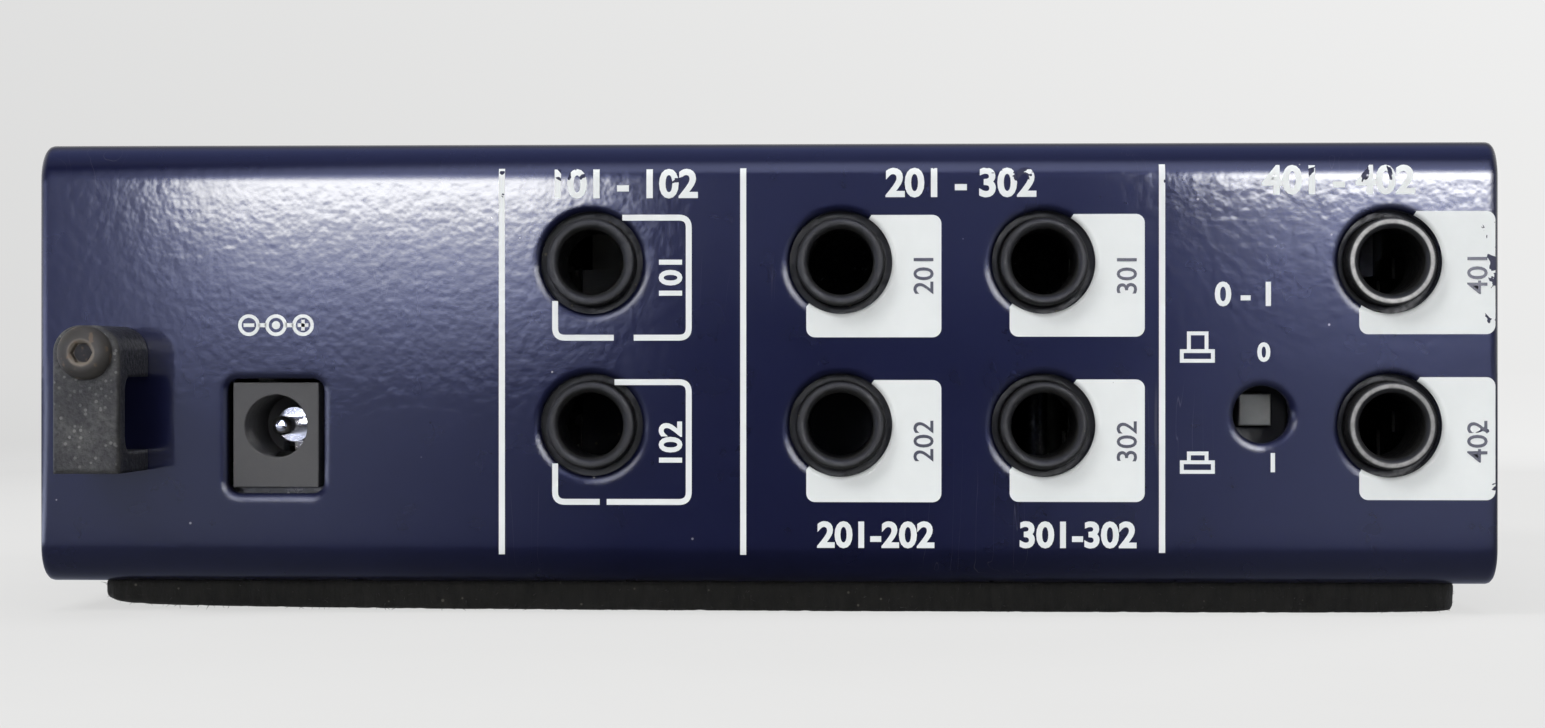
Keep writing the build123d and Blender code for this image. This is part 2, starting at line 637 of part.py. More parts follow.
def make_dc_pin():
    """Centre pin with its collar, and the lug behind that goes down to the board."""
    seat = DC_FACE - DC_HOLE_DEPTH
    tip = DC_FACE - DC_PIN_INSET
    pin = fillet(rod(DC_PIN_RADIUS, dc_lug_y()[0], tip).edges().sort_by(Axis.Y)[-1], DC_PIN_ROUND)
    pin += rod(DC_COLLAR_RADIUS, seat, seat + DC_COLLAR_LENGTH)
    lug_low = MAIN_TOP - TAIL_BOTTOM - DC_AXIS
    pin += block((-DC_PIN_RADIUS, DC_PIN_RADIUS), dc_lug_y(), (lug_low, 0))
    return Pos(DC_X, 0, DC_AXIS) * pin


def dc_tail_y():
    """Both faces of the sleeve spring's tail, inside the socket's slot."""
    back = DC_FACE - DC_DEPTH + TAIL_SETBACK
    return back, back + LEAF_GAUGE


def make_dc_contact():
    """Sleeve spring: flat along the board, then up to where the plug's sleeve runs."""
    run = MAIN_TOP + TAIL_SETBACK + LEAF_GAUGE
    start = dc_tail_y()[0]
    path = [
        (start, run),
        (start + DC_BLADE_RUN, run),
        (DC_FACE - DC_BLADE_CREST, DC_AXIS - DC_PLUG_RADIUS - PLUG_GAP),
        (DC_FACE - DC_SLOT_INSET - TAIL_SETBACK, DC_AXIS - DC_HOLE_RADIUS - LEAF_GAUGE),
    ]
    outline = Polyline(*path, *[(y, z - LEAF_GAUGE) for y, z in reversed(path)], close=True)
    blade = extrude(Plane.YZ * make_face(outline.edges()), LEAF_WIDTH / 2, both=True)
    half = TAIL_WIDTH / 2
    blade += block((-half, half), dc_tail_y(), (MAIN_TOP - TAIL_BOTTOM, run))
    return Pos(DC_X, 0, 0) * blade


def make_dc_slots():
    """Holes in the board for the socket's two tails."""
    slots = []
    for half, edges in ((DC_PIN_RADIUS, dc_lug_y()), (TAIL_WIDTH / 2, dc_tail_y())):
        x = (DC_X - half - TAIL_GAP, DC_X + half + TAIL_GAP)
        y = (edges[0] - TAIL_GAP, edges[1] + TAIL_GAP)
        slots.append(block(x, y, (MAIN_TOP - BOARD_GAUGE, MAIN_TOP)))
    return slots


# Push switch


def square_bar(width, y_from, y_to):
    half = width / 2
    return block((-half, half), (y_from, y_to), (-half, half))


def make_switch_body():
    """Switch case: a square hole for the plunger and a wider well for its flange and spring."""
    half = SWITCH_WIDTH / 2
    well_end = -SWITCH_WALL - FLANGE_SEAT_GAP - FLANGE_LENGTH - SPRING_LENGTH
    low = MAIN_TOP - SWITCH_AXIS
    body = block((-half, half), (well_end - SWITCH_WALL, 0), (low, low + SWITCH_HEIGHT))
    hole = square_bar(PLUNGER_WIDTH + 2 * PLUNGER_GAP, -SWITCH_WALL, 0)
    well = square_bar(FLANGE_WIDTH + 2 * PLUNGER_GAP, well_end, -SWITCH_WALL)
    return at_rear((SWITCH_X, SWITCH_AXIS), SWITCH_FACE) * (body - hole - well)


def make_switch_plunger():
    """Square button with the flange that keeps it in, and a boss that centres the spring."""
    seat = -SWITCH_WALL - FLANGE_SEAT_GAP
    tip = REAR_FACE - PLUNGER_INSET - SWITCH_FACE
    button = square_bar(PLUNGER_WIDTH, seat, tip)
    button = fillet(button.faces().sort_by(Axis.Y)[-1].edges(), PLUNGER_ROUND)
    flange = square_bar(FLANGE_WIDTH, seat - FLANGE_LENGTH, seat)
    boss = rod(BOSS_RADIUS, seat - FLANGE_LENGTH - BOSS_LENGTH, seat - FLANGE_LENGTH)
    return at_rear((SWITCH_X, SWITCH_AXIS), SWITCH_FACE) * (button + flange + boss)


def make_switch_spring():
    """Coil spring of quarter-turn arcs, tangent to one another, from the flange to the end of the well."""
    height = SPRING_LENGTH - 2 * (SPRING_WIRE + SPRING_SEAT_GAP)
    climb = height / SPRING_TURNS / 4
    slope = climb / (SPRING_RADIUS * pi / 2)
    rise = sin(slope)
    level = cos(slope)
    middle = (sqrt((rise * climb) ** 2 + level**2 * (SPRING_RADIUS**2 + climb**2)) - rise * climb) / level
    wire = []
    for half_turn in range(2 * SPRING_TURNS):
        way = 1 if half_turn % 2 == 0 else -1
        start = Vector(way * SPRING_RADIUS, 0, 2 * half_turn * climb)
        crown = Vector(0, way * middle, (2 * half_turn + 1) * climb)
        end = Vector(-way * SPRING_RADIUS, 0, (2 * half_turn + 2) * climb)
        first = Edge.make_tangent_arc(start, Vector(0, way * level, rise), crown)
        wire += [first, Edge.make_tangent_arc(crown, first % 1, end)]
    path = Wire(wire)
    points = [path @ (step / SPRING_SAMPLES) for step in range(SPRING_SAMPLES + 1)]
    half_turn = SPRING_SAMPLES // SPRING_TURNS // 2
    apart = min((b - a).length for i, a in enumerate(points) for b in points[i + half_turn :])
    print("least gap between turns of the spring", round(apart - 2 * SPRING_WIRE, 2))
    section = Plane(origin=path @ 0, z_dir=path % 0) * RegularPolygon(SPRING_WIRE, 6)
    coil = sweep(section, path)
    far_end = -SWITCH_WALL - FLANGE_SEAT_GAP - FLANGE_LENGTH - SPRING_LENGTH
    place = at_rear((SWITCH_X, SWITCH_AXIS), SWITCH_FACE + far_end + SPRING_WIRE + SPRING_SEAT_GAP)
    return place * Rot(-90, 0, 0) * coil


# Pots and knobs


def make_pot_body(half, bushing, shaft):
    """Pot behind the panel with its bushing through it, bored for the shaft."""
    body = block((-half, half), (-FRONT_DEPTH, 0), (-half, half))
    body = fillet(body.edges().filter_by(Axis.Y), POT_CORNER)
    body += rod(bushing, 0, FRAME_GAUGE + POT_NUT_THICKNESS + BUSHING_PROUD)
    floor = SHAFT_SEAT - FRONT_DEPTH
    return body - rod(shaft + SHAFT_GAP, floor, FRAME_GAUGE + POT_NUT_THICKNESS + BUSHING_PROUD)


def make_pot_nut(bushing):
    """Hexagon nut on the bushing, in front of the panel."""
    ends = (FRAME_GAUGE, FRAME_GAUGE + POT_NUT_THICKNESS)
    return hex_rod(2 * (bushing + POT_NUT_MARGIN), *ends) - rod(bushing + THREAD_GAP, *ends)


def knob_ends(length):
    """Back and face of a knob, from the panel's inner face."""
    back = FRAME_GAUGE + KNOB_GAP
    return back, back + length


def knob_sleeve_start():
    """Where a knob's sleeve starts on the shaft, in front of the bushing."""
    return FRAME_GAUGE + POT_NUT_THICKNESS + BUSHING_PROUD + KNOB_GAP


def set_screw_y(length):
    """The set screw's axis, in the middle of the sleeve."""
    return (knob_sleeve_start() + knob_ends(length)[1] - KNOB_FACE) / 2


def make_shaft(shaft, length):
    """Pot shaft with a flat for the set screw."""
    end = knob_ends(length)[1] - KNOB_FACE - SHAFT_GAP
    start = SHAFT_SEAT - FRONT_DEPTH + SHAFT_GAP
    flat = block((-shaft, shaft), (knob_sleeve_start(), end), (shaft - SHAFT_FLAT, shaft))
    return rod(shaft, start, end) - flat


def make_knob(radius, length, shaft, bushing, flutes, pointer):
    """Fluted knob: hollow over the nut, with a bore for the shaft and a pointer groove."""
    back, face = knob_ends(length)
    knob = rod(radius, back, face)
    knob = fillet(knob.edges().group_by(Axis.Y)[-1], KNOB_ROUND)
    groove = Pos(radius + FLUTE_RADIUS - FLUTE_DEPTH, 0, 0) * rod(FLUTE_RADIUS, back, face - KNOB_FACE)
    knob -= [Rot(0, 360 / flutes * (step + 0.5), 0) * groove for step in range(flutes)]
    hollow_radius = (bushing + POT_NUT_MARGIN) / cos(pi / 6) + KNOB_HOLLOW_GAP
    hollow = rod(hollow_radius, back, knob_sleeve_start())
    bore = make_shaft(shaft + SHAFT_GAP, length)
    half = POINTER_WIDTH / 2
    mark = block((-half, half), (face - POINTER_DEPTH, face), (radius - pointer, radius))
    return knob - hollow - bore - mark - set_screw_hole(radius, length)


def set_screw_hole(radius, length):
    """Tapped hole from the knob's top to the shaft."""
    return Pos(0, set_screw_y(length), 0) * upright(rod(SCREW_RADIUS + THREAD_GAP, 0, radius))


def make_set_screw(shaft, radius, length):
    """Grub screw on the shaft's flat, just below the knob's rim."""
    grub = rod(SCREW_RADIUS, shaft - SHAFT_FLAT, radius - KNOB_ROUND)
    grub -= hex_rod(SOCKET_WIDTH, radius - KNOB_ROUND - SOCKET_DEPTH, radius - KNOB_ROUND)
    return Pos(0, set_screw_y(length), 0) * upright(grub)


# Toggle switches


def toggle_end():
    """End of a toggle's bushing, from the panel's inner face."""
    return FRAME_GAUGE + TOGGLE_NUT_THICKNESS + TOGGLE_PROUD


def make_toggle_body():
    """Switch behind the panel, with a threaded bushing that opens towards its mouth for the lever."""
    half = TOGGLE_WIDTH / 2
    tall = TOGGLE_HEIGHT / 2
    body = block((-half, half), (-FRONT_DEPTH, 0), (-tall, tall)) + rod(TOGGLE_BUSHING, 0, toggle_end())
    throat = LEVER_BALL + LEVER_GAP
    reach = toggle_end() - LEVER_PIVOT
    neck = LEVER_NECK + (LEVER_TIP - LEVER_NECK) * reach / lever_reach()
    mouth = neck / cos(radians(LEVER_SWING)) + reach * tan(radians(LEVER_SWING)) + LEVER_GAP
    body -= rod(throat, LEVER_PIVOT - LEVER_TAIL - LEVER_BALL, LEVER_PIVOT)
    return body - funnel(throat, max(mouth, throat + LEVER_GAP), LEVER_PIVOT, toggle_end())


def make_toggle_nut():
    ends = (FRAME_GAUGE, FRAME_GAUGE + TOGGLE_NUT_THICKNESS)
    return hex_rod(TOGGLE_NUT_WIDTH, *ends) - rod(TOGGLE_BUSHING + THREAD_GAP, *ends)


def lever_reach():
    """From a lever's pivot to its tip."""
    return toggle_end() - LEVER_PIVOT + LEVER_LENGTH


def make_lever():
    """Bat lever on its ball, tilted down."""
    bat = funnel(LEVER_NECK, LEVER_TIP, 0, lever_reach() - LEVER_TIP)
    tip = Pos(0, lever_reach() - LEVER_TIP, 0) * Sphere(LEVER_TIP)
    lever = bat + tip + Sphere(LEVER_BALL) + rod(LEVER_TAIL_RADIUS, -LEVER_TAIL, 0)
    return Pos(0, LEVER_PIVOT, 0) * Rot(-LEVER_SWING, 0, 0) * lever


# Headphone sockets, nuts and lamps


def make_jack_nut():
    """Round nut on a headphone jack's nose."""
    ends = (FRAME_GAUGE, FRAME_GAUGE + JACK_NUT_THICKNESS)
    ring = rod(JACK_NUT_RADIUS, *ends)
    ring = chamfer(ring.edges().sort_by(Axis.Y)[-1], JACK_MOUTH)
    return ring - rod(NOSE_RADIUS + THREAD_GAP, *ends)


def make_small_jack():
    """3.5 mm jack with its nose through the panel."""
    half = SMALL_JACK_WIDTH / 2
    tall = SMALL_JACK_HEIGHT / 2
    mouth = FRAME_GAUGE + SMALL_NOSE_PROUD
    body = block((-half, half), (-FRONT_DEPTH, 0), (-tall, tall)) + rod(SMALL_NOSE_RADIUS, 0, mouth)
    body -= rod(SMALL_BORE, SMALL_BACK - FRONT_DEPTH, mouth)
    return body - funnel(SMALL_BORE, SMALL_BORE + SMALL_MOUTH, mouth - SMALL_MOUTH, mouth)


def make_led():
    """Lamp with a domed end through the panel, a flange behind it and two legs to the board."""
    dome = FRAME_GAUGE + LED_PROUD
    lamp = rod(LED_RADIUS, 0, dome) + Pos(0, dome, 0) * Sphere(LED_RADIUS)
    lamp += rod(LED_RADIUS + LED_FLANGE, -LED_RADIUS, 0)
    leg = square_bar(LED_LEG, -FRONT_DEPTH, -LED_RADIUS)
    return lamp + [Pos(side * LED_LEG_PITCH, 0, 0) * leg for side in (-1, 1)]


# Boards and what stands on them


def make_main_board():
    """Board on the base, with holes for the lower jacks, the power socket and the posts."""
    half = SIDE_INSIDE - BOARD_SIDE_GAP
    y = (FRONT_BOARD_Y + BOARD_GAUGE + BOARD_EDGE_GAP, REAR_INSIDE - BOARD_EDGE_GAP)
    board = block((-half, half), y, (MAIN_TOP - BOARD_GAUGE, MAIN_TOP))
    cuts = make_dc_slots()
    places = [at_rear(place) for place in REAR_JACKS.values() if place[1] == LOWER_AXIS]
    places.append(at_front(PHONES_JACKS["phones_jack_two"]))
    cuts += [place * slot for place in places for slot in make_tail_slots()]
    return board - cuts - post_holes(LOWER_POSTS, MAIN_TOP)


def make_upper_board():
    """Board on posts above the first, with the upper jacks and the trimmers."""
    half = SIDE_INSIDE - BOARD_SIDE_GAP
    y = (UPPER_BOARD_FRONT, REAR_INSIDE - BOARD_EDGE_GAP)
    board = block((-half, half - UPPER_BOARD_CUTBACK), y, (UPPER_TOP - BOARD_GAUGE, UPPER_TOP))
    places = [at_rear(place) for place in REAR_JACKS.values() if place[1] == UPPER_AXIS]
    cuts = [place * slot for place in places for slot in make_tail_slots()]
    return board - cuts - post_holes(UPPER_POSTS, UPPER_TOP)


def post_holes(posts, top):
    hole = Cylinder(SCREW_RADIUS + SCREW_HOLE_GAP, BOARD_GAUGE)
    return [Pos(x, y, top - BOARD_GAUGE / 2) * hole for x, y in posts]


def make_front_board():
    """Upright board that the front controls are soldered to."""
    x = (DIM_X - FRONT_BOARD_MARGIN, SMALL_JACK_X + FRONT_BOARD_MARGIN)
    z = (BASE_INSIDE + FRONT_BOARD_GAP, TOP_INSIDE - FRONT_BOARD_GAP)
    return block(x, (FRONT_BOARD_Y, FRONT_BOARD_Y + BOARD_GAUGE), z)


def make_lower_standoff():
    """Hexagon post from the base to the main board, tapped from above."""
    top = MAIN_TOP - BOARD_GAUGE - BASE_INSIDE
    hole = rod(SCREW_RADIUS + THREAD_GAP, top - STUD_LENGTH - THREAD_GAP, top)
    return Pos(0, 0, BASE_INSIDE) * upright(hex_rod(STANDOFF_WIDTH, 0, top) - hole)


def make_upper_standoff():
    """Hexagon post between the boards: a stud below and a tapped hole above."""
    top = UPPER_TOP - BOARD_GAUGE - MAIN_TOP
    post = hex_rod(STANDOFF_WIDTH, 0, top) + rod(SCREW_RADIUS, -BOARD_GAUGE - STUD_LENGTH, 0)
    hole = rod(SCREW_RADIUS + THREAD_GAP, top - STUD_LENGTH - THREAD_GAP, top)
    return Pos(0, 0, MAIN_TOP) * upright(post - hole)


def make_board_screws():
    """Screws on the upper board's posts, and on the main board's front posts."""
    screw = upright(button_screw(BOARD_SCREW_LENGTH))
    heads = [(x, y, UPPER_TOP) for x, y in UPPER_POSTS]
    heads += [(x, y, MAIN_TOP) for x, y in LOWER_POSTS if (x, y) not in UPPER_POSTS]
    return [Pos(*head) * screw for head in heads]


def make_board_headers():
    """Two headers between the boards, and one from the main board to the front board."""
    half = HEADER_LENGTH / 2
    wide = HEADER_WIDTH / 2
    z = (MAIN_TOP, UPPER_TOP - BOARD_GAUGE)
    pillar = block((-half, half), (STANDOFF_MID_Y - wide, STANDOFF_MID_Y + wide), z)
    start = FRONT_BOARD_Y + BOARD_GAUGE
    front = block((-half, half), (start, start + 2 * HEADER_WIDTH), (MAIN_TOP, MAIN_TOP + HEADER_WIDTH))
    return [Pos(-HEADER_X, 0, 0) * pillar, Pos(HEADER_X, 0, 0) * pillar, front]


def make_board_chips():
    """Amplifier chips with a notch at one end."""
    width, depth, height = CHIP_SIZE
    chip = Box(width, depth, height, align=(Align.CENTER, Align.CENTER, Align.MIN))
    chip -= Pos(0, depth / 2, height) * Cylinder(CHIP_NOTCH, CHIP_NOTCH)
    return [Pos(CHIP_PITCH * (step + 0.5), PARTS_Y, MAIN_TOP) * chip for step in range(3)]


def make_board_capacitors():
    """Electrolytic cans with a grooved rim."""
    can = upright(rod(CAN_RADIUS, 0, CAN_HEIGHT))
    can = fillet(can.edges().group_by(Axis.Z)[-1], CAN_RIM)
    return [Pos(-CAN_PITCH * (step + 0.5), PARTS_Y, MAIN_TOP) * can for step in range(4)]


def make_trimmer_body():
    """Trimmer on the upper board, bored from above for its shaft."""
    body = Box(TRIMMER_WIDTH, TRIMMER_DEPTH, TRIMMER_HEIGHT, align=(Align.CENTER, Align.CENTER, Align.MIN))
    return body - upright(rod(TRIMMER_SHAFT + SHAFT_GAP, TRIMMER_FLOOR, TRIMMER_HEIGHT))


def make_trimmer_shaft():
    """Slotted shaft that ends just below the top."""
    height = CASE_TOP - TRIMMER_INSET - UPPER_TOP
    shaft = upright(rod(TRIMMER_SHAFT, TRIMMER_FLOOR + SHAFT_GAP, height))
    half = TRIMMER_SLOT_WIDTH / 2
    side = (-TRIMMER_SHAFT, TRIMMER_SHAFT)
    return shaft - block(side, (-half, half), (height - TRIMMER_SLOT_DEPTH, height))


def save(name, *pieces):
    """Write one node: every solid of the given pieces."""
    solids = [solid for piece in pieces for solid in piece.solids()]
    export_step(solids[0] if len(solids) == 1 else Compound(solids), f"parts/{name}.step")


def main():
    os.makedirs("parts", exist_ok=True)
    save("rear_shell", make_rear_shell())
    save("front_frame", make_front_frame())
    save("side_brackets", *make_side_brackets())
    save("case_screws", *[place * button_screw(CASE_SCREW_LENGTH) for place in case_screw_places()])
    save("base_pad", make_base_pad())
    save("cable_clamp", make_cable_clamp())
    clamp_face = at_rear((CLAMP_X, clamp_screw_height()), REAR_FACE + CLAMP_DEPTH)
    save("clamp_screw", clamp_face * button_screw(CLAMP_SCREW_LENGTH))
    save("clamp_nut", make_clamp_nut())

    rear_jack = make_jack_housing(REAR_NOSE)
    contacts = make_jack_contacts()
    for name, place in REAR_JACKS.items():
        save(name, at_rear(place) * rear_jack)
    save("rear_jack_contacts", *[at_rear(place) * leaf for place in REAR_JACKS.values() for leaf in contacts])
    save("dc_jack_housing", make_dc_housing())
    save("dc_jack_pin", make_dc_pin())
    save("dc_jack_contact", make_dc_contact())
    save("switch_body", make_switch_body())
    save("switch_plunger", make_switch_plunger())
    save("switch_spring", make_switch_spring())

    front_jack = make_jack_housing(FRONT_NOSE)
    for name, place in PHONES_JACKS.items():
        save(name, at_front(place) * front_jack)
    front_contacts = [at_front(place) * leaf for place in PHONES_JACKS.values() for leaf in contacts]
    save("phones_jack_contacts", *front_contacts)
    save("jack_nuts", *[at_front(place) * make_jack_nut() for place in PHONES_JACKS.values()])
    save("small_phones_jack", at_front(SMALL_JACK) * make_small_jack())
    save("status_leds", *[at_front(place) * make_led() for place in LEDS])

    save("master_pot_body", at_front(MASTER) * make_pot_body(MASTER_HALF, MASTER_BUSHING, SHAFT_RADIUS))
    save("phones_pot_body", at_front(PHONES) * make_pot_body(PHONES_HALF, PHONES_BUSHING, SMALL_SHAFT_RADIUS))
    nuts = [at_front(MASTER) * make_pot_nut(MASTER_BUSHING), at_front(PHONES) * make_pot_nut(PHONES_BUSHING)]
    save("pot_nuts", *nuts)
    save("master_shaft", at_front(MASTER) * make_shaft(SHAFT_RADIUS, MASTER_KNOB_LENGTH))
    save("phones_shaft", at_front(PHONES) * make_shaft(SMALL_SHAFT_RADIUS, PHONES_KNOB_LENGTH))
    master_knob = make_knob(
        MASTER_KNOB_RADIUS, MASTER_KNOB_LENGTH, SHAFT_RADIUS, MASTER_BUSHING, MASTER_FLUTES, MASTER_POINTER
    )
    phones_knob = make_knob(
        PHONES_KNOB_RADIUS,
        PHONES_KNOB_LENGTH,
        SMALL_SHAFT_RADIUS,
        PHONES_BUSHING,
        PHONES_FLUTES,
        PHONES_POINTER,
    )
    save("master_knob", at_front(MASTER) * master_knob)
    save("phones_knob", at_front(PHONES) * phones_knob)
    master_grub = make_set_screw(SHAFT_RADIUS, MASTER_KNOB_RADIUS, MASTER_KNOB_LENGTH)
    phones_grub = make_set_screw(SMALL_SHAFT_RADIUS, PHONES_KNOB_RADIUS, PHONES_KNOB_LENGTH)
    save("master_set_screw", at_front(MASTER) * master_grub)
    save("phones_set_screw", at_front(PHONES) * phones_grub)

    save("toggle_bodies", *[at_front(place) * make_toggle_body() for place in TOGGLES.values()])
    save("toggle_nuts", *[at_front(place) * make_toggle_nut() for place in TOGGLES.values()])
    for name, place in TOGGLES.items():
        save(name, at_front(place) * make_lever())

    save("main_board", make_main_board())
    save("upper_board", make_upper_board())
    save("front_board", make_front_board())
    save("lower_standoffs", *[Pos(x, y, 0) * make_lower_standoff() for x, y in LOWER_POSTS])
    save("upper_standoffs", *[Pos(x, y, 0) * make_upper_standoff() for x, y in UPPER_POSTS])
    save("board_screws", *make_board_screws())
    save("board_headers", *make_board_headers())
    save("board_chips", *make_board_chips())
    save("board_capacitors", *make_board_capacitors())
    trimmer_places = [Pos(x, TRIMMER_Y, UPPER_TOP) for x in TRIMMER_XS]
    save("trimmer_bodies", *[place * make_trimmer_body() for place in trimmer_places])
    for name, place in zip(TRIMMER_NAMES, trimmer_places):
        save(f"trimmer_{name}", place * make_trimmer_shaft())


main()
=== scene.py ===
import json
from math import asin, cos, degrees, exp, pi, radians, sin, sqrt

import bmesh
import bpy
from mathutils import Matrix, Vector, noise


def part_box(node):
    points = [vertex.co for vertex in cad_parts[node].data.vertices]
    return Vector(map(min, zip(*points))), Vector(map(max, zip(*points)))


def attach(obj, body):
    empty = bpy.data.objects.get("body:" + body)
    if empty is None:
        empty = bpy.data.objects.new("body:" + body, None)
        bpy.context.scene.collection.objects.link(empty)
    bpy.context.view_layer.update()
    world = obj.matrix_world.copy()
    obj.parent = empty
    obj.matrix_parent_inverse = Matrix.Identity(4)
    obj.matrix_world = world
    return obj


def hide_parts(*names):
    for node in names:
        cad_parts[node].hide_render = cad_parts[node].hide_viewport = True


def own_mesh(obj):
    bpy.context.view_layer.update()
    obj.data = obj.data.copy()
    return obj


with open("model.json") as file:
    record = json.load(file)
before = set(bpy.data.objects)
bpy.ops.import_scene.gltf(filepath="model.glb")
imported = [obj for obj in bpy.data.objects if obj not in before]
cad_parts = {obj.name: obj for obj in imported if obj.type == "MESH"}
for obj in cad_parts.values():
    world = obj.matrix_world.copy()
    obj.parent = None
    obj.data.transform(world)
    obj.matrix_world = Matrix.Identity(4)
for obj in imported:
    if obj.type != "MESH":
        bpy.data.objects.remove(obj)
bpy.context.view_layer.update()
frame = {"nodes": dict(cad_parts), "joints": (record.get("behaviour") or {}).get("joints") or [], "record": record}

# Studio monitor controller: a folded navy box seen from behind, with its jacks, power socket and saddle.
# Everything is in metres in the frame of the solids. Print is laid out in millimetres on its own face.

MM = 0.001
BODY_OF = {node: body for body, nodes in frame["record"]["behaviour"]["bodies"].items() for node in nodes}
SOCKETS = {mount["name"]: Vector(mount["pos_m"]) for mount in frame["record"]["mounts"]}
SHELL_LOW, SHELL_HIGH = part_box("rear_shell")
FRAME_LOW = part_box("front_frame")[0]
MIDDLE = (SHELL_LOW.z + SHELL_HIGH.z) / 2
LEVERS = ("dim_lever", "mono_lever", "sub_lever", "monitor_lever", "phones_lever")
TRIMMERS = ("trimmer_one", "trimmer_two", "trimmer_three", "trimmer_four")


def new_object(name, data):
    """An object of that name and data, in the scene."""
    thing = bpy.data.objects.new(name, data)
    bpy.context.scene.collection.objects.link(thing)
    return thing


def plain_mesh(thing):
    """The mesh that an object ends up as; the object itself goes."""
    bpy.context.view_layer.update()
    mesh = bpy.data.meshes.new_from_object(thing.evaluated_get(bpy.context.evaluated_depsgraph_get()))
    bpy.data.objects.remove(thing)
    return mesh


def hub_of(node):
    """Middle of a node's box."""
    low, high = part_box(node)
    return (low + high) / 2


def toggle_hub(node):
    """Pivot of a lever, from the joint that swings it."""
    joint = next(joint for joint in frame["joints"] if joint["child"] == BODY_OF[node])
    return Vector(joint["pos_m"])


def mesh_of(skin, name):
    """A skin made into a mesh of that name."""
    mesh = bpy.data.meshes.new(name)
    skin.to_mesh(mesh)
    skin.free()
    return mesh


def bridge(skin, loops):
    """Faces from loop to loop of a skin, with both ends closed."""
    count = len(loops[0])
    for first, second in zip(loops, loops[1:]):
        for index in range(count):
            after = (index + 1) % count
            skin.faces.new((first[index], first[after], second[after], second[index]))
    skin.faces.new(loops[0][::-1])
    skin.faces.new(loops[-1])
    bmesh.ops.recalc_face_normals(skin, faces=skin.faces)


# Camera, room and lamps


def point_at(thing, target):
    thing.rotation_euler = (Vector(target) - thing.location).to_track_quat("-Z", "Y").to_euler()


def set_camera():
    """Nearly straight on to the rear panel, a quarter of a metre away, a shade to the right."""
    data = bpy.data.cameras.new("rear_camera")
    data.lens = 59.33
    data.sensor_width = 36.0
    data.clip_start = 0.01
    camera = new_object("rear_camera", data)
    camera.location = (-0.00933, 0.30787, 0.0254)
    point_at(camera, (-0.0010, 0.050, 0.0254))
    bpy.context.scene.camera = camera


def add_softbox(name, place, size, power):
    """A lamp aimed at the object, which neither the camera nor gloss sees."""
    data = bpy.data.lights.new(name, "AREA")
    data.shape = "RECTANGLE"
    data.size, data.size_y = size
    data.energy = power
    lamp = new_object(name, data)
    lamp.location = place
    point_at(lamp, (0, 0, 0.025))
    lamp.visible_camera = False
    lamp.visible_glossy = False


def set_lamps():
    add_softbox("key_softbox", (0.75, 0.58, 0.95), (0.34, 0.30), 9.0)
    add_softbox("fill_softbox", (0.28, 0.95, 0.45), (0.5, 0.5), 4.1)
    add_softbox("top_softbox", (0.0, 0.15, 1.0), (0.8, 0.6), 7.5)
    add_softbox("front_softbox", (-0.95, -0.75, 0.70), (0.5, 0.5), 7.5)


class Graph:
    """Nodes of one tree, added and joined with few words."""

    def __init__(self, tree):
        self.tree = tree

    def add(self, kind, inputs=None, **settings):
        node = self.tree.nodes.new(kind)
        for name, value in settings.items():
            setattr(node, name, value)
        for name, value in (inputs or {}).items():
            self.feed(node.inputs[name], value)
        return node

    def out(self, kind, inputs=None, **settings):
        """First output of a node that it adds."""
        return self.add(kind, inputs, **settings).outputs[0]

    def feed(self, socket, value):
        if isinstance(value, bpy.types.NodeSocket):
            self.tree.links.new(value, socket)
        else:
            socket.default_value = value

    def calc(self, operation, *values):
        """Result of one operation of the math node."""
        node = self.add("ShaderNodeMath", operation=operation)
        for socket, value in zip(node.inputs, values):
            self.feed(socket, value)
        return node.outputs[0]

    def times(self, first, *others):
        """Product of two or more values."""
        for other in others:
            first = self.calc("MULTIPLY", first, other)
        return first

    def spread(self, value, low, high, to_low=0.0, to_high=1.0):
        """Map one range to another, eased and held at both ends."""
        ends = {"Value": value, "From Min": low, "From Max": high, "To Min": to_low, "To Max": to_high}
        return self.add("ShaderNodeMapRange", ends, interpolation_type="SMOOTHSTEP").outputs["Result"]

    def band(self, value, start, full, fading, end):
        """One between two limits, eased to nothing at both ends."""
        rising = self.spread(value, start, full)
        return self.times(rising, self.spread(value, fading, end, 1.0, 0.0))

    def blend(self, share, first, second):
        node = self.add("ShaderNodeMix", {0: share, 6: first, 7: second}, data_type="RGBA")
        return node.outputs[2]


# Lit patches of the room that only gloss sees: strength, sideways band, upward band
LIT_PATCHES = (
    (19.0, (0.090, 0.125, 0.250, 0.290), (0.052, 0.074, 0.082, 0.14)),
    (9.0, (0.070, 0.130, 0.220, 0.300), (0.0, 0.060, 0.10, 0.45)),
    (2.4, (0.07, 0.15, 0.24, 0.40), (-0.08, 0.0, 0.30, 1.2)),
    (27.0, (-0.45, -0.30, -0.155, -0.120), (0.066, 0.080, 0.16, 0.45)),
    (9.0, (-0.45, -0.30, -0.25, -0.11), (0.015, 0.065, 0.2, 0.6)),
    (1.8, (-0.50, -0.30, -0.20, -0.09), (-0.08, 0.03, 0.3, 1.0)),
    (3.2, (-0.55, -0.38, 0.0, 0.42), (0.35, 0.50, 0.8, 1.8)),
    (0.4, (-0.12, -0.06, 0.06, 0.12), (0.01, 0.05, 0.2, 0.4)),
    (7.0, (0.58, 0.80, 3.0, 4.5), (-0.6, -0.4, -0.04, 0.22)),
)


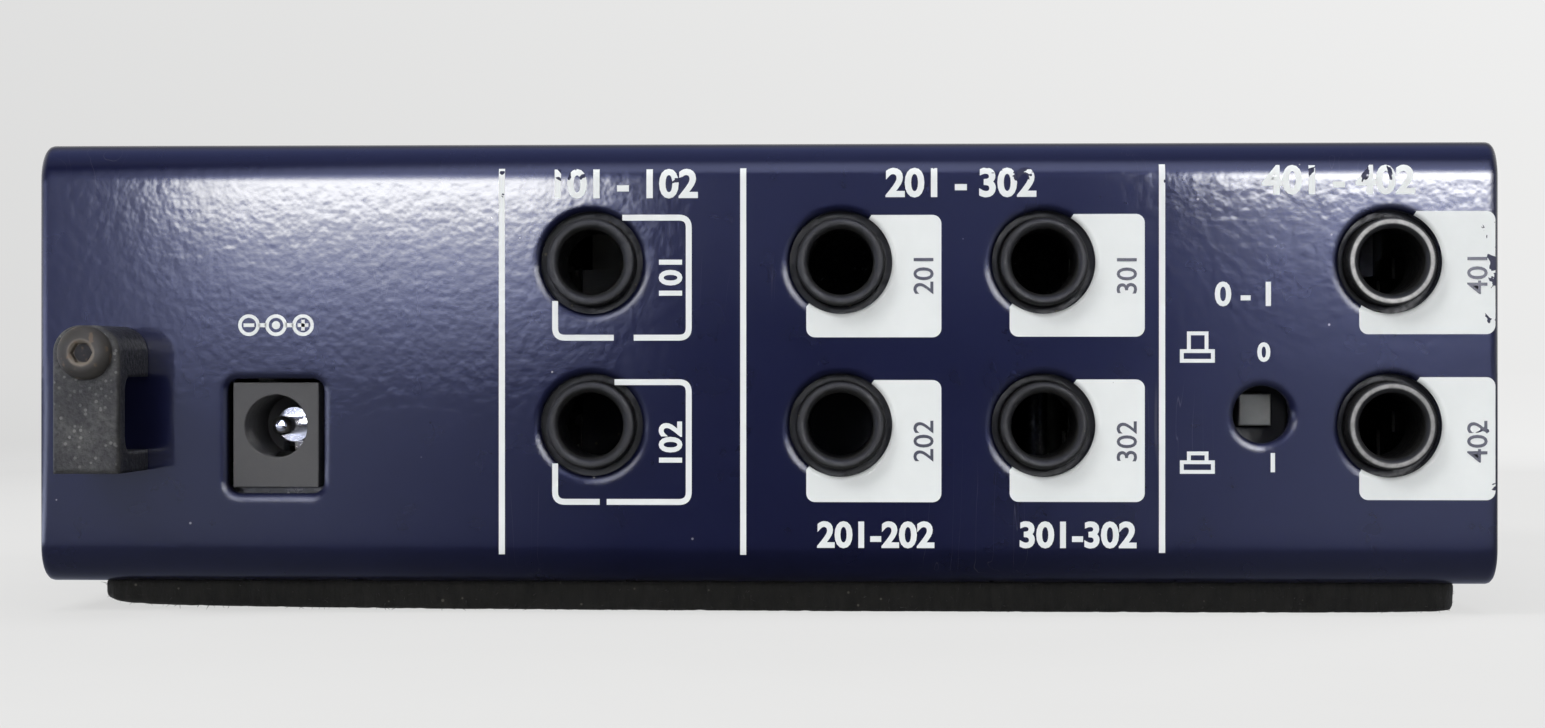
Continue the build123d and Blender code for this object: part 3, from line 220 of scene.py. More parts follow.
def set_room():
    """Pale to the eye; gloss sees it pale behind the object, and dark with lit patches behind the camera."""
    world = bpy.data.worlds.new("pale_room")
    world.use_nodes = True
    bpy.context.scene.world = world
    graph = Graph(world.node_tree)
    place = graph.add("ShaderNodeTexCoord").outputs["Generated"]
    way = graph.add("ShaderNodeSeparateXYZ", {0: place}).outputs
    ray = graph.add("ShaderNodeLightPath").outputs
    seen = graph.calc("MULTIPLY_ADD", way[0], -0.20, 0.775)
    seen = graph.calc("MULTIPLY_ADD", way[2], 0.25, seen)
    mirrored = graph.spread(way[1], -0.15, 0.35, 0.50, 0.03)
    mirrored = graph.times(mirrored, graph.spread(way[2], 0.35, 0.75, 1.0, 0.2))
    above = graph.spread(way[2], 0.6, 0.95)
    mirrored = graph.calc("MULTIPLY_ADD", above, 0.6, mirrored)
    beside = graph.spread(graph.calc("ABSOLUTE", way[0]), 0.45, 0.9)
    mirrored = graph.calc("MULTIPLY_ADD", beside, 0.8, mirrored)
    ahead = graph.calc("MAXIMUM", way[1], 0.05)
    rise = graph.calc("DIVIDE", way[2], ahead)
    drift = graph.calc("DIVIDE", way[0], ahead)
    lit = 0.0
    for power, across, up in LIT_PATCHES:
        patch = graph.times(graph.band(drift, *across), graph.band(rise, *up))
        lit = graph.calc("MULTIPLY_ADD", patch, power, lit)
    facing = graph.spread(way[1], 0.15, 0.35)
    mirrored = graph.calc("MULTIPLY_ADD", lit, facing, mirrored)
    gloss = graph.calc("MAXIMUM", ray["Is Glossy Ray"], ray["Is Transmission Ray"])
    other = graph.out("ShaderNodeMix", {0: gloss, 2: 0.17, 3: mirrored})
    strength = graph.out("ShaderNodeMix", {0: ray["Is Camera Ray"], 2: other, 3: seen})
    sky = world.node_tree.nodes["Background"]
    haze = graph.times(facing, graph.spread(lit, 5.0, 18.0, 0.7, 0.05))
    cool = graph.times(gloss, graph.calc("MAXIMUM", above, haze))
    graph.feed(sky.inputs["Color"], graph.blend(cool, (1.0, 1.0, 0.995, 1), (0.42, 0.50, 1.0, 1)))
    graph.feed(sky.inputs["Strength"], strength)


def lay_floor():
    """Pale table that takes the shadow and fades into the room; gloss sees it dim ahead, bright aside."""
    mesh = bpy.data.meshes.new("pale_table")
    half = 6.0
    corners = [(-half, -half, 0), (half, -half, 0), (half, half, 0), (-half, half, 0)]
    mesh.from_pydata(corners, [], [(0, 1, 2, 3)])
    paint = bpy.data.materials.new("pale_table")
    paint.use_nodes = True
    graph = Graph(paint.node_tree)
    place = graph.add("ShaderNodeTexCoord").outputs["Object"]
    spot = graph.add("ShaderNodeSeparateXYZ", {0: place}).outputs
    reach = graph.add("ShaderNodeVectorMath", {0: place}, operation="LENGTH").outputs["Value"]
    side = graph.calc("DIVIDE", spot[0], reach)
    slope = graph.spread(reach, 0.12, 0.6, -0.02, -0.20)
    seen = graph.calc("MULTIPLY_ADD", side, slope, graph.spread(reach, 0.14, 0.42, 0.80, 0.775))
    ray = graph.add("ShaderNodeLightPath").outputs
    shown = graph.calc("MAXIMUM", ray["Is Camera Ray"], graph.times(ray["Is Glossy Ray"], 0.3))
    glow = graph.add("ShaderNodeEmission", {"Strength": graph.times(seen, shown)})
    glow.inputs["Color"].default_value = (1.0, 1.0, 0.995, 1)
    grain = graph.out("ShaderNodeTexNoise", {"Vector": place, "Scale": 60.0, "Detail": 3.0})
    tint = graph.blend(grain, (0.50, 0.50, 0.495, 1), (0.54, 0.54, 0.535, 1))
    table = paint.node_tree.nodes["Principled BSDF"]
    graph.feed(table.inputs["Base Color"], tint)
    table.inputs["Roughness"].default_value = 0.9
    table.inputs["Specular IOR Level"].default_value = 0.0
    far = graph.spread(reach, 0.14, 0.42)
    far = graph.calc("MAXIMUM", far, graph.times(ray["Is Camera Ray"], 0.8))
    mixed = graph.add("ShaderNodeMixShader", {0: far, 1: table.outputs[0], 2: glow.outputs[0]})
    dim = graph.times(ray["Is Glossy Ray"], graph.spread(spot[1], -0.02, 0.06))
    drift = graph.calc("DIVIDE", spot[0], graph.calc("MAXIMUM", graph.calc("ADD", spot[1], 0.2), 0.1))
    sides = graph.spread(graph.calc("ABSOLUTE", drift), 0.03, 0.26, 0.03, 1.1)
    sides = graph.times(sides, graph.spread(spot[1], 0.09, 0.19, 0.3, 1.0))
    edge = graph.times(graph.band(drift, 0.45, 0.58, 1.0, 1.3), graph.spread(spot[0], 0.12, 0.20))
    sides = graph.calc("MULTIPLY_ADD", edge, 6.0, sides)
    cloth = graph.add("ShaderNodeEmission", {"Color": (0.70, 0.76, 1.0, 1), "Strength": sides})
    mixed = graph.add("ShaderNodeMixShader", {0: dim, 1: mixed.outputs[0], 2: cloth.outputs[0]})
    graph.feed(paint.node_tree.nodes["Material Output"].inputs["Surface"], mixed.outputs[0])
    mesh.materials.append(paint)
    floor = new_object("pale_table", mesh)


# Finishes


class Finish(Graph):
    """One procedural finish on Object coordinates, ending in a principled surface."""

    def __init__(self, name, **sockets):
        self.material = bpy.data.materials.new(name)
        self.material.use_nodes = True
        super().__init__(self.material.node_tree)
        self.surface = self.tree.nodes["Principled BSDF"]
        self.place = self.add("ShaderNodeTexCoord").outputs["Object"]
        self.normal = None
        for socket, value in sockets.items():
            self.set(socket.replace("_", " "), value)

    def set(self, name, value):
        self.feed(self.surface.inputs[name], value)

    def grain(self, size, detail=2.0, rough=0.5, stretch=None, warp=0.0):
        """Noise with features of about that size, in metres; stretch scales the pattern along each axis."""
        place = self.place
        if stretch:
            place = self.out("ShaderNodeMapping", {"Vector": place, "Scale": stretch})
        inputs = {"Vector": place, "Scale": 1 / size, "Detail": detail}
        inputs.update({"Roughness": rough, "Distortion": warp})
        return self.out("ShaderNodeTexNoise", inputs)

    def specks(self, spacing, size, share):
        """Round specks of up to that size on a scattered grid, in a share of its cells."""
        cells = self.add("ShaderNodeTexVoronoi", {"Vector": self.place, "Scale": 1 / spacing})
        chance = self.add("ShaderNodeSeparateColor", {0: cells.outputs["Color"]}).outputs
        limit = self.times(chance[1], size / spacing)
        inside = self.calc("SUBTRACT", limit, cells.outputs["Distance"])
        near = self.spread(inside, 0.0, 0.25 * size / spacing)
        return self.times(near, self.calc("LESS_THAN", chance[0], share))

    def paint(self, colour):
        self.set("Base Color", colour)

    def rough(self, grain, low, high):
        """Roughness between two values, uneven by a grain."""
        self.set("Roughness", self.spread(grain, 0.3, 0.7, low, high))

    def bump(self, height, distance):
        node = self.add("ShaderNodeBump", {"Height": height, "Distance": distance, "Strength": 1.0})
        if self.normal:
            self.feed(node.inputs["Normal"], self.normal)
        self.normal = node.outputs[0]
        self.set("Normal", self.normal)

    def soften(self, radius):
        """Let the light turn round edges over that radius, as it does on paint and mouldings."""
        self.normal = self.out("ShaderNodeBevel", {"Radius": radius}, samples=6)
        self.set("Normal", self.normal)

    def across(self, centre):
        """Distance from a line along Y through a point."""
        offset = self.out("ShaderNodeVectorMath", {0: self.place, 1: centre}, operation="SUBTRACT")
        flat = self.out("ShaderNodeVectorMath", {0: offset, 1: (1, 0, 1)}, operation="MULTIPLY")
        return self.add("ShaderNodeVectorMath", {0: flat}, operation="LENGTH").outputs["Value"]

    def along(self, axis):
        """Place along X, Y or Z."""
        return self.add("ShaderNodeSeparateXYZ", {0: self.place}).outputs["XYZ".index(axis)]


NAVY_DEEP = (0.0048, 0.0055, 0.0190, 1)
NAVY_PALE = (0.0070, 0.0079, 0.0255, 1)
DUST = (0.30, 0.29, 0.30, 1)


def navy_colour(finish):
    """Navy of uneven depth with dust specks and hair scratches."""
    colour = finish.blend(finish.grain(0.006, 4.0, 0.6), NAVY_DEEP, NAVY_PALE)
    dust = finish.specks(0.0034, 0.00021, 0.30)
    colour = finish.blend(dust, colour, DUST)
    hair = finish.grain(0.0035, 1.0, 0.5, (1.0, 1.0, 0.07), 1.5)
    hair = finish.spread(finish.calc("ABSOLUTE", finish.calc("SUBTRACT", hair, 0.5)), 0.0, 0.004, 1.0, 0.0)
    patch = finish.spread(finish.grain(0.02, 1.0), 0.60, 0.68)
    return finish.blend(finish.times(hair, patch, 0.12), colour, DUST)


def navy_paint():
    """Clear gloss over a blue that has a sheen of its own, with a fine orange peel."""
    sheen = {"Specular_IOR_Level": 0.1, "Specular_Tint": (0.30, 0.38, 1.0, 1)}
    finish = Finish("navy_paint", Coat_Weight=0.9, Coat_Roughness=0.07, **sheen)
    finish.paint(navy_colour(finish))
    finish.rough(finish.grain(0.004, 3.0), 0.27, 0.34)
    finish.soften(0.0009)
    finish.bump(finish.grain(0.0009, 1.0, 0.4), 0.0000068)
    finish.set("Coat Normal", finish.normal)
    return finish.material


def worn_print():
    """White screen print, chipped down to the navy along the top bend and at the input labels' outer edge."""
    finish = Finish("worn_print", Roughness=0.42, Specular_IOR_Level=0.2)
    chips = finish.grain(0.0019, 3.0, 0.55, warp=0.6)
    top = finish.spread(finish.along("Z"), SHELL_HIGH.z - 0.0052, SHELL_HIGH.z - 0.0036)
    edge = finish.spread(finish.along("X"), SHELL_LOW.x + 0.0035, SHELL_LOW.x + 0.0006)
    rear = finish.calc("GREATER_THAN", finish.along("Y"), 0.0)
    wear = finish.times(finish.calc("MAXIMUM", top, edge), rear)
    limit = finish.calc("MULTIPLY_ADD", wear, -0.17, 0.76)
    worn = finish.spread(finish.calc("SUBTRACT", chips, limit), 0.0, 0.006)
    white = finish.blend(finish.grain(0.003, 3.0), (0.72, 0.745, 0.745, 1), (0.79, 0.815, 0.815, 1))
    finish.paint(finish.blend(worn, white, NAVY_PALE))
    finish.bump(chips, 0.00001)
    return finish.material


def knocked_out_print():
    """Navy figures that show through the white labels."""
    finish = Finish("knocked_out_print", Roughness=0.35)
    finish.paint(finish.blend(finish.grain(0.001), NAVY_DEEP, NAVY_PALE))
    finish.bump(finish.grain(0.0011), 0.00002)
    return finish.material


def jack_plastic(name="jack_plastic", socket=None, rub=0.0):
    """Black moulding with brown dust; a rubbed ring round the mouth where a socket is given."""
    finish = Finish(name, Specular_IOR_Level=0.28)
    black = finish.blend(finish.grain(0.0012, 3.0), (0.006, 0.006, 0.0056, 1), (0.016, 0.0156, 0.0147, 1))
    black = finish.blend(finish.specks(0.0013, 0.00022, 0.22), black, (0.10, 0.085, 0.055, 1))
    if socket:
        out = finish.across(SOCKETS[socket])
        ring = finish.band(out, 0.0037, 0.0039, 0.0041, 0.0043)
        face = finish.spread(finish.along("Y"), SHELL_HIGH.y + 0.0005, SHELL_HIGH.y + 0.0009)
        patchy = finish.spread(finish.grain(0.0009, 4.0, 0.7), 0.25, 0.75, 0.55, 1.0)
        black = finish.blend(finish.times(ring, face, patchy, rub), black, (0.50, 0.495, 0.485, 1))
    finish.paint(black)
    finish.rough(finish.grain(0.0006, 3.0), 0.32, 0.52)
    finish.soften(0.0005)
    finish.bump(finish.grain(0.00035, 3.0), 0.00001)
    return finish.material


def clamp_nylon():
    """Glass-filled nylon: mid-dark, grainy, with pale specks as painted glints of fibre; patchy on its front face,
    and painted near black behind it as painted shade.
    """
    finish = Finish("clamp_nylon", Specular_IOR_Level=0.25)
    grain = finish.grain(0.0005, 4.0, 0.7)
    mottle = finish.spread(grain, 0.25, 0.75)
    colour = finish.blend(mottle, (0.018, 0.018, 0.0175, 1), (0.082, 0.081, 0.078, 1))
    # Pale specks: painted glints of the glass fibre.
    colour = finish.blend(finish.specks(0.0005, 0.00022, 0.5), colour, (0.15, 0.15, 0.14, 1))
    # Behind the front face the nylon is painted near black, painted shade on the clamp's sides; the face keeps a
    # patchy tone.
    worn = finish.spread(finish.grain(0.004, 2.0), 0.38, 0.62, 0.45, 1.0)
    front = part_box("cable_clamp")[1].y
    face = finish.spread(finish.along("Y"), front - 0.0014, front - 0.0004, 0.15, 1.0)
    colour = finish.blend(finish.times(worn, face), (0.010, 0.010, 0.0098, 1), colour)
    finish.paint(colour)
    finish.rough(grain, 0.36, 0.60)
    finish.soften(0.0006)
    finish.bump(finish.grain(0.0006, 4.0, 0.65), 0.0001)
    return finish.material


def black_screw(name="black_screw", centre=None):
    """Black oxide steel gone bronze; where a centre is given, a pale tan ring round the hexagon hole, and the hole
    painted near black as painted shade.
    """
    finish = Finish(name, Metallic=0.35)
    grain = finish.grain(0.0006, 4.0, 0.65)
    colour = finish.blend(grain, (0.026, 0.024, 0.020, 1), (0.062, 0.056, 0.046, 1))
    if centre:
        out = finish.across(centre)
        rim = finish.band(out, 0.00085, 0.0010, 0.00118, 0.00150)
        colour = finish.blend(finish.times(rim, 0.8), colour, (0.22, 0.19, 0.15, 1))
        # The hexagon hole is painted near black: painted shade in the recess.
        shaded_hole = finish.spread(out, 0.00090, 0.00084)
        colour = finish.blend(shaded_hole, colour, (0.012, 0.011, 0.010, 1))
        fleck = finish.spread(finish.grain(0.0011, 2.0), 0.60, 0.68)
        colour = finish.blend(finish.times(fleck, 0.5), colour, (0.16, 0.11, 0.065, 1))
    finish.paint(colour)
    finish.rough(grain, 0.52, 0.72)
    finish.bump(grain, 0.00002)
    return finish.material


def moulding(name, specular, grain, tones, rough, bump):
    """Plain plastic or filler: two tones and an uneven gloss by one grain, and a finer bump."""
    finish = Finish(name, Specular_IOR_Level=specular)
    mottle = finish.grain(*grain)
    finish.paint(finish.blend(mottle, *tones))
    finish.rough(mottle, *rough)
    size, depth = bump
    finish.bump(finish.grain(size, 3.0), depth)
    return finish.material


# Plain mouldings: name, specular level, grain, two tones, roughness, size and depth of the bump
MOULDINGS = {
    "socket": (
        "socket_plastic", 0.3, (0.0011, 4.0, 0.65),
        ((0.055, 0.054, 0.054, 1), (0.078, 0.077, 0.076, 1)), (0.52, 0.66), (0.00025, 0.000008),
    ),
    "plunger": (
        "plunger_grey", 0.4, (0.0008, 4.0, 0.6),
        ((0.17, 0.174, 0.169, 1), (0.25, 0.255, 0.244, 1)), (0.45, 0.6), (0.0003, 0.00001),
    ),
    "knob": (
        "knob_black", 0.5, (0.003, 4.0, 0.6),
        ((0.010, 0.010, 0.0105, 1), (0.022, 0.022, 0.023, 1)), (0.30, 0.46), (0.0003, 0.000012),
    ),
    "pointer": (
        "pointer_fill", 0.4, (0.0012, 3.0),
        ((0.74, 0.75, 0.74, 1), (0.83, 0.84, 0.83, 1)), (0.35, 0.5), (0.0012, 0.00002),
    ),
    "trimmer": (
        "trimmer_plastic", 0.45, (0.0015, 3.0),
        ((0.62, 0.61, 0.55, 1), (0.72, 0.71, 0.66, 1)), (0.35, 0.5), (0.0004, 0.00001),
    ),
}


def plated_metal(name, colour, low=0.14, high=0.30):
    """Plated metal with faint stains and fine marks."""
    finish = Finish(name, Metallic=1.0)
    stain = finish.grain(0.002, 4.0, 0.6)
    dull = tuple(0.78 * part for part in colour) + (1,)
    finish.paint(finish.blend(finish.spread(stain, 0.35, 0.7), colour + (1,), dull))
    fine = finish.grain(0.0004, 3.0, 0.6)
    finish.rough(fine, low, high)
    finish.bump(fine, 0.000004)
    return finish.material


def pad_foam():
    """Black cellular foam with a dusty, ribbed cut edge."""
    finish = Finish("pad_foam", Specular_IOR_Level=0.15, Sheen_Weight=0.14, Sheen_Roughness=0.6)
    rib = finish.grain(0.0007, 3.0, 0.6, (1.0, 1.0, 0.25))
    cell = finish.grain(0.00025, 3.0, 0.7)
    colour = finish.blend(rib, (0.002, 0.002, 0.0018, 1), (0.022, 0.0214, 0.0186, 1))
    colour = finish.blend(finish.specks(0.0011, 0.00032, 0.25), colour, (0.10, 0.095, 0.08, 1))
    finish.paint(colour)
    finish.set("Roughness", finish.spread(cell, 0.2, 0.8, 0.82, 0.98))
    finish.bump(rib, 0.00016)
    finish.bump(cell, 0.00007)
    return finish.material


def board_laminate():
    """Green lacquer over paler copper tracks; the boards' cut edges are painted near black as painted shade."""
    finish = Finish("board_laminate", Specular_IOR_Level=0.5)
    inputs = {"Vector": finish.place, "Scale": 130.0, "Mortar Size": 0.06, "Bias": 0.0}
    track = finish.add("ShaderNodeTexBrick", inputs).outputs["Fac"]
    weave = finish.grain(0.0006, 2.0)
    green = finish.blend(weave, (0.006, 0.075, 0.028, 1), (0.010, 0.095, 0.038, 1))
    colour = finish.blend(track, green, (0.030, 0.180, 0.060, 1))
    # Faces that are not flat, the boards' cut edges, are painted near black: painted shade in the gap under the
    # power socket.
    facing = finish.add("ShaderNodeSeparateXYZ", {0: finish.add("ShaderNodeNewGeometry").outputs["Normal"]})
    flat = finish.calc("GREATER_THAN", finish.calc("ABSOLUTE", facing.outputs[2]), 0.5)
    finish.paint(finish.blend(flat, (0.006, 0.006, 0.004, 1), colour))
    finish.rough(weave, 0.25, 0.4)
    finish.bump(track, 0.00003)
    return finish.material


def can_sleeve():
    """Dark sleeve of a capacitor, with a paler stripe."""
    finish = Finish("can_sleeve", Specular_IOR_Level=0.5)
    stripe = finish.spread(finish.grain(0.004, 0.0, 0.5, (1, 1, 0.05)), 0.62, 0.66)
    dark = finish.blend(finish.grain(0.002, 3.0), (0.012, 0.012, 0.03, 1), (0.02, 0.02, 0.045, 1))
    finish.paint(finish.blend(stripe, dark, (0.5, 0.5, 0.5, 1)))
    finish.rough(finish.grain(0.001, 2.0), 0.18, 0.32)
    finish.bump(finish.grain(0.0015, 2.0), 0.00003)
    return finish.material


def lamp_lens():
    """Tinted lamps: green on the left, amber on the right."""
    finish = Finish("lamp_lens", Specular_IOR_Level=0.5, Coat_Weight=0.3, Coat_Roughness=0.08)
    middle = hub_of("status_leds").x
    side = finish.spread(finish.along("X"), middle - 0.001, middle + 0.001)
    tint = finish.blend(side, (0.030, 0.34, 0.055, 1), (0.50, 0.15, 0.012, 1))
    cloud = finish.spread(finish.grain(0.0006, 3.0), 0.3, 0.7, 0.75, 1.0)
    tint = finish.blend(cloud, (0.05, 0.05, 0.04, 1), tint)
    finish.paint(tint)
    finish.rough(finish.grain(0.0008, 2.0), 0.14, 0.24)
    finish.bump(finish.grain(0.0008, 2.0), 0.000006)
    return finish.material


# Dressing of the solids


def add_piece(name, mesh, body, finish=None):
    """A finished piece at the origin, riding on its body."""
    if finish:
        mesh.materials.clear()
        mesh.materials.append(finish)
    piece = new_object(name, mesh)
    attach(piece, body)
    return piece


def merged_copy(node, name):
    """The node's triangles as one closed skin, its flat faces whole."""
    source = frame["nodes"][node].data
    mesh = bpy.data.meshes.new(name)
    mesh.from_pydata([v.co for v in source.vertices], [], [p.vertices for p in source.polygons])
    skin = bmesh.new()
    skin.from_mesh(mesh)
    bmesh.ops.remove_doubles(skin, verts=skin.verts, dist=1e-6)
    bmesh.ops.dissolve_limit(skin, angle_limit=radians(0.2), verts=skin.verts, edges=skin.edges)
    skin.to_mesh(mesh)
    skin.free()
    mesh.shade_smooth()
    mesh.set_sharp_from_angle(angle=radians(32))
    return mesh


def round_edges(piece, width):
    edge = piece.modifiers.new("edge", "BEVEL")
    edge.width = width
    edge.segments = 2
    edge.limit_method = "ANGLE"
    edge.angle_limit = radians(35)
    edge.use_clamp_overlap = True


def weigh_normals(piece):
    weighing = piece.modifiers.new("normals", "WEIGHTED_NORMAL")
    weighing.keep_sharp = True


def dress(node, finish, edge=0.0):
    """A smooth copy of a node with its edges broken, standing for the node."""
    piece = add_piece(node + "_made", merged_copy(node, node + "_made"), BODY_OF[node], finish)
    if edge:
        round_edges(piece, edge)
    weigh_normals(piece)
    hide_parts(node)
    return piece


def dress_shell(finish):
    """The folded sheet, with the cut ends of the sheet rounded."""
    mesh = merged_copy("rear_shell", "rear_shell_made")
    piece = add_piece("rear_shell_made", mesh, "case", finish)
    weight = mesh.attributes.new("bevel_weight_edge", "FLOAT", "EDGE")
    ends = [round(v.co.x / SHELL_HIGH.x, 4) for v in mesh.vertices]
    for edge in mesh.edges:
        first, second = (ends[index] for index in edge.vertices)
        weight.data[edge.index].value = 1.0 if first == second and abs(first) == 1.0 else 0.0
    edge = piece.modifiers.new("edge", "BEVEL")
    edge.width = 0.0006
    edge.segments = 3
    edge.limit_method = "WEIGHT"
    edge.use_clamp_overlap = False
    weigh_normals(piece)
    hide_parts("rear_shell")


def widen_socket(piece):
    """Let the power socket's face fill its opening as it does in the photograph."""
    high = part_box("dc_jack_housing")[1]
    middle = hub_of("dc_jack_housing").x
    flank = 0.0039
    spare = 0.0004
    for vert in piece.data.vertices:
        out = vert.co.x - middle
        if abs(out) > flank:
            vert.co.x += spare if out > 0 else -spare
        if vert.co.z > high.z - 0.0001:
            vert.co.z += spare


def dress_spring(finish):
    """A dressed copy of the switch's return spring, with a mesh of its own."""
    piece = dress("switch_spring", finish)
    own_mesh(piece)


def paint_node(node, finish):
    """A node inside the box keeps its own mesh and takes a finish."""
    mesh = frame["nodes"][node].data
    mesh.materials.clear()
    mesh.materials.append(finish)


def dress_solids(finishes):
    """Dressed copies of what can be seen, and finishes on what stays inside."""
    dress_shell(finishes["navy"])
    dress("front_frame", finishes["navy"])
    dress("case_screws", finishes["screw"], 0.00012)
    dress("cable_clamp", finishes["nylon"], 0.00025)
    dress("clamp_screw", finishes["clamp_screw"], 0.00010)
    for node in ("aux_left", "aux_right", "b_left", "b_right", "a_left", "a_right"):
        dress(node + "_jack", finishes["jack"], 0.00022)
    for side in ("left", "right"):
        dress(f"input_{side}_jack", finishes[f"input_{side}"], 0.00022)
    widen_socket(dress("dc_jack_housing", finishes["socket"], 0.00014))
    dress("dc_jack_pin", finishes["chrome"], 0.00008)
    dress("switch_plunger", finishes["plunger"])
    dress_spring(finishes["zinc"])
    for node in ("phones_jack_one", "phones_jack_two", "small_phones_jack"):
        dress(node, finishes["jack"], 0.00012)
    for node in ("jack_nuts", "toggle_nuts", "toggle_bodies", "pot_nuts"):
        dress(node, finishes["nickel"], 0.00014)
    for node in LEVERS:
        dress(node, finishes["nickel"])
    for node in ("master_knob", "phones_knob"):
        dress(node, finishes["knob"])
    for node in ("master_set_screw", "phones_set_screw"):
        dress(node, finishes["screw"])
    dress("status_leds", finishes["lamp"])
    for node in TRIMMERS:
        dress(node, finishes["trimmer"], 0.00010)
    inside = {
        "zinc": ("side_brackets", "clamp_nut", "lower_standoffs", "upper_standoffs"),
        "laminate": ("main_board", "upper_board", "front_board"),
        "jack": ("switch_body", "board_headers", "board_chips", "master_pot_body", "phones_pot_body"),
        "contact": ("rear_jack_contacts", "phones_jack_contacts", "dc_jack_contact"),
        "nickel": ("master_shaft", "phones_shaft"),
        "screw": ("board_screws",),
        "can": ("board_capacitors",),
        "trimmer": ("trimmer_bodies",),
    }
    for finish, nodes in inside.items():
        for node in nodes:
            paint_node(node, finishes[finish])


# Print


# Thickness of the print in millimetres, and steps of its long arcs
PRINT_LIFT = 0.025
ARC_STEPS = 40

# Print on a rounded rim: its rows, the degrees from row to row, and the place of its underside
LIP_ROWS = 6
LIP_STEP = 13
LIP_ROOT = -0.02

# Turns from the sheet as it is read to the object
TO_REAR = Matrix(((-1, 0, 0), (0, 0, 1), (0, 1, 0)))
TO_FRONT = Matrix(((1, 0, 0), (0, 0, -1), (0, 1, 0)))
TO_TOP = Matrix.Identity(3)


def arc_points(centre, radius, start, end, steps=12):
    """Points on an arc, angles in degrees."""
    turns = [radians(start + (end - start) * step / steps) for step in range(steps + 1)]
    return [(centre[0] + radius * cos(t), centre[1] + radius * sin(t)) for t in turns]


def rounded_path(points, radius, steps=8):
    """A path of straight runs with its corners rounded."""
    path = [points[0]]
    for before, corner, after in zip(points, points[1:], points[2:]):
        here = Vector(corner)
        start = here + (Vector(before) - here).normalized() * radius
        end = here + (Vector(after) - here).normalized() * radius
        for step in range(steps + 1):
            share = step / steps
            path.append(tuple((1 - share) ** 2 * start + 2 * share * (1 - share) * here + share**2 * end))
    return path + [points[-1]]


def strip(points, width):
    """Outline of a line of even width along a path."""
    left = []
    right = []
    for index, point in enumerate(points):
        here = Vector(point)
        before = Vector(points[max(index - 1, 0)])
        after = Vector(points[min(index + 1, len(points) - 1)])
        way = (after - before).normalized()
        side = Vector((-way.y, way.x)) * width / 2
        left.append(tuple(here + side))
        right.append(tuple(here - side))
    return left + right[::-1]


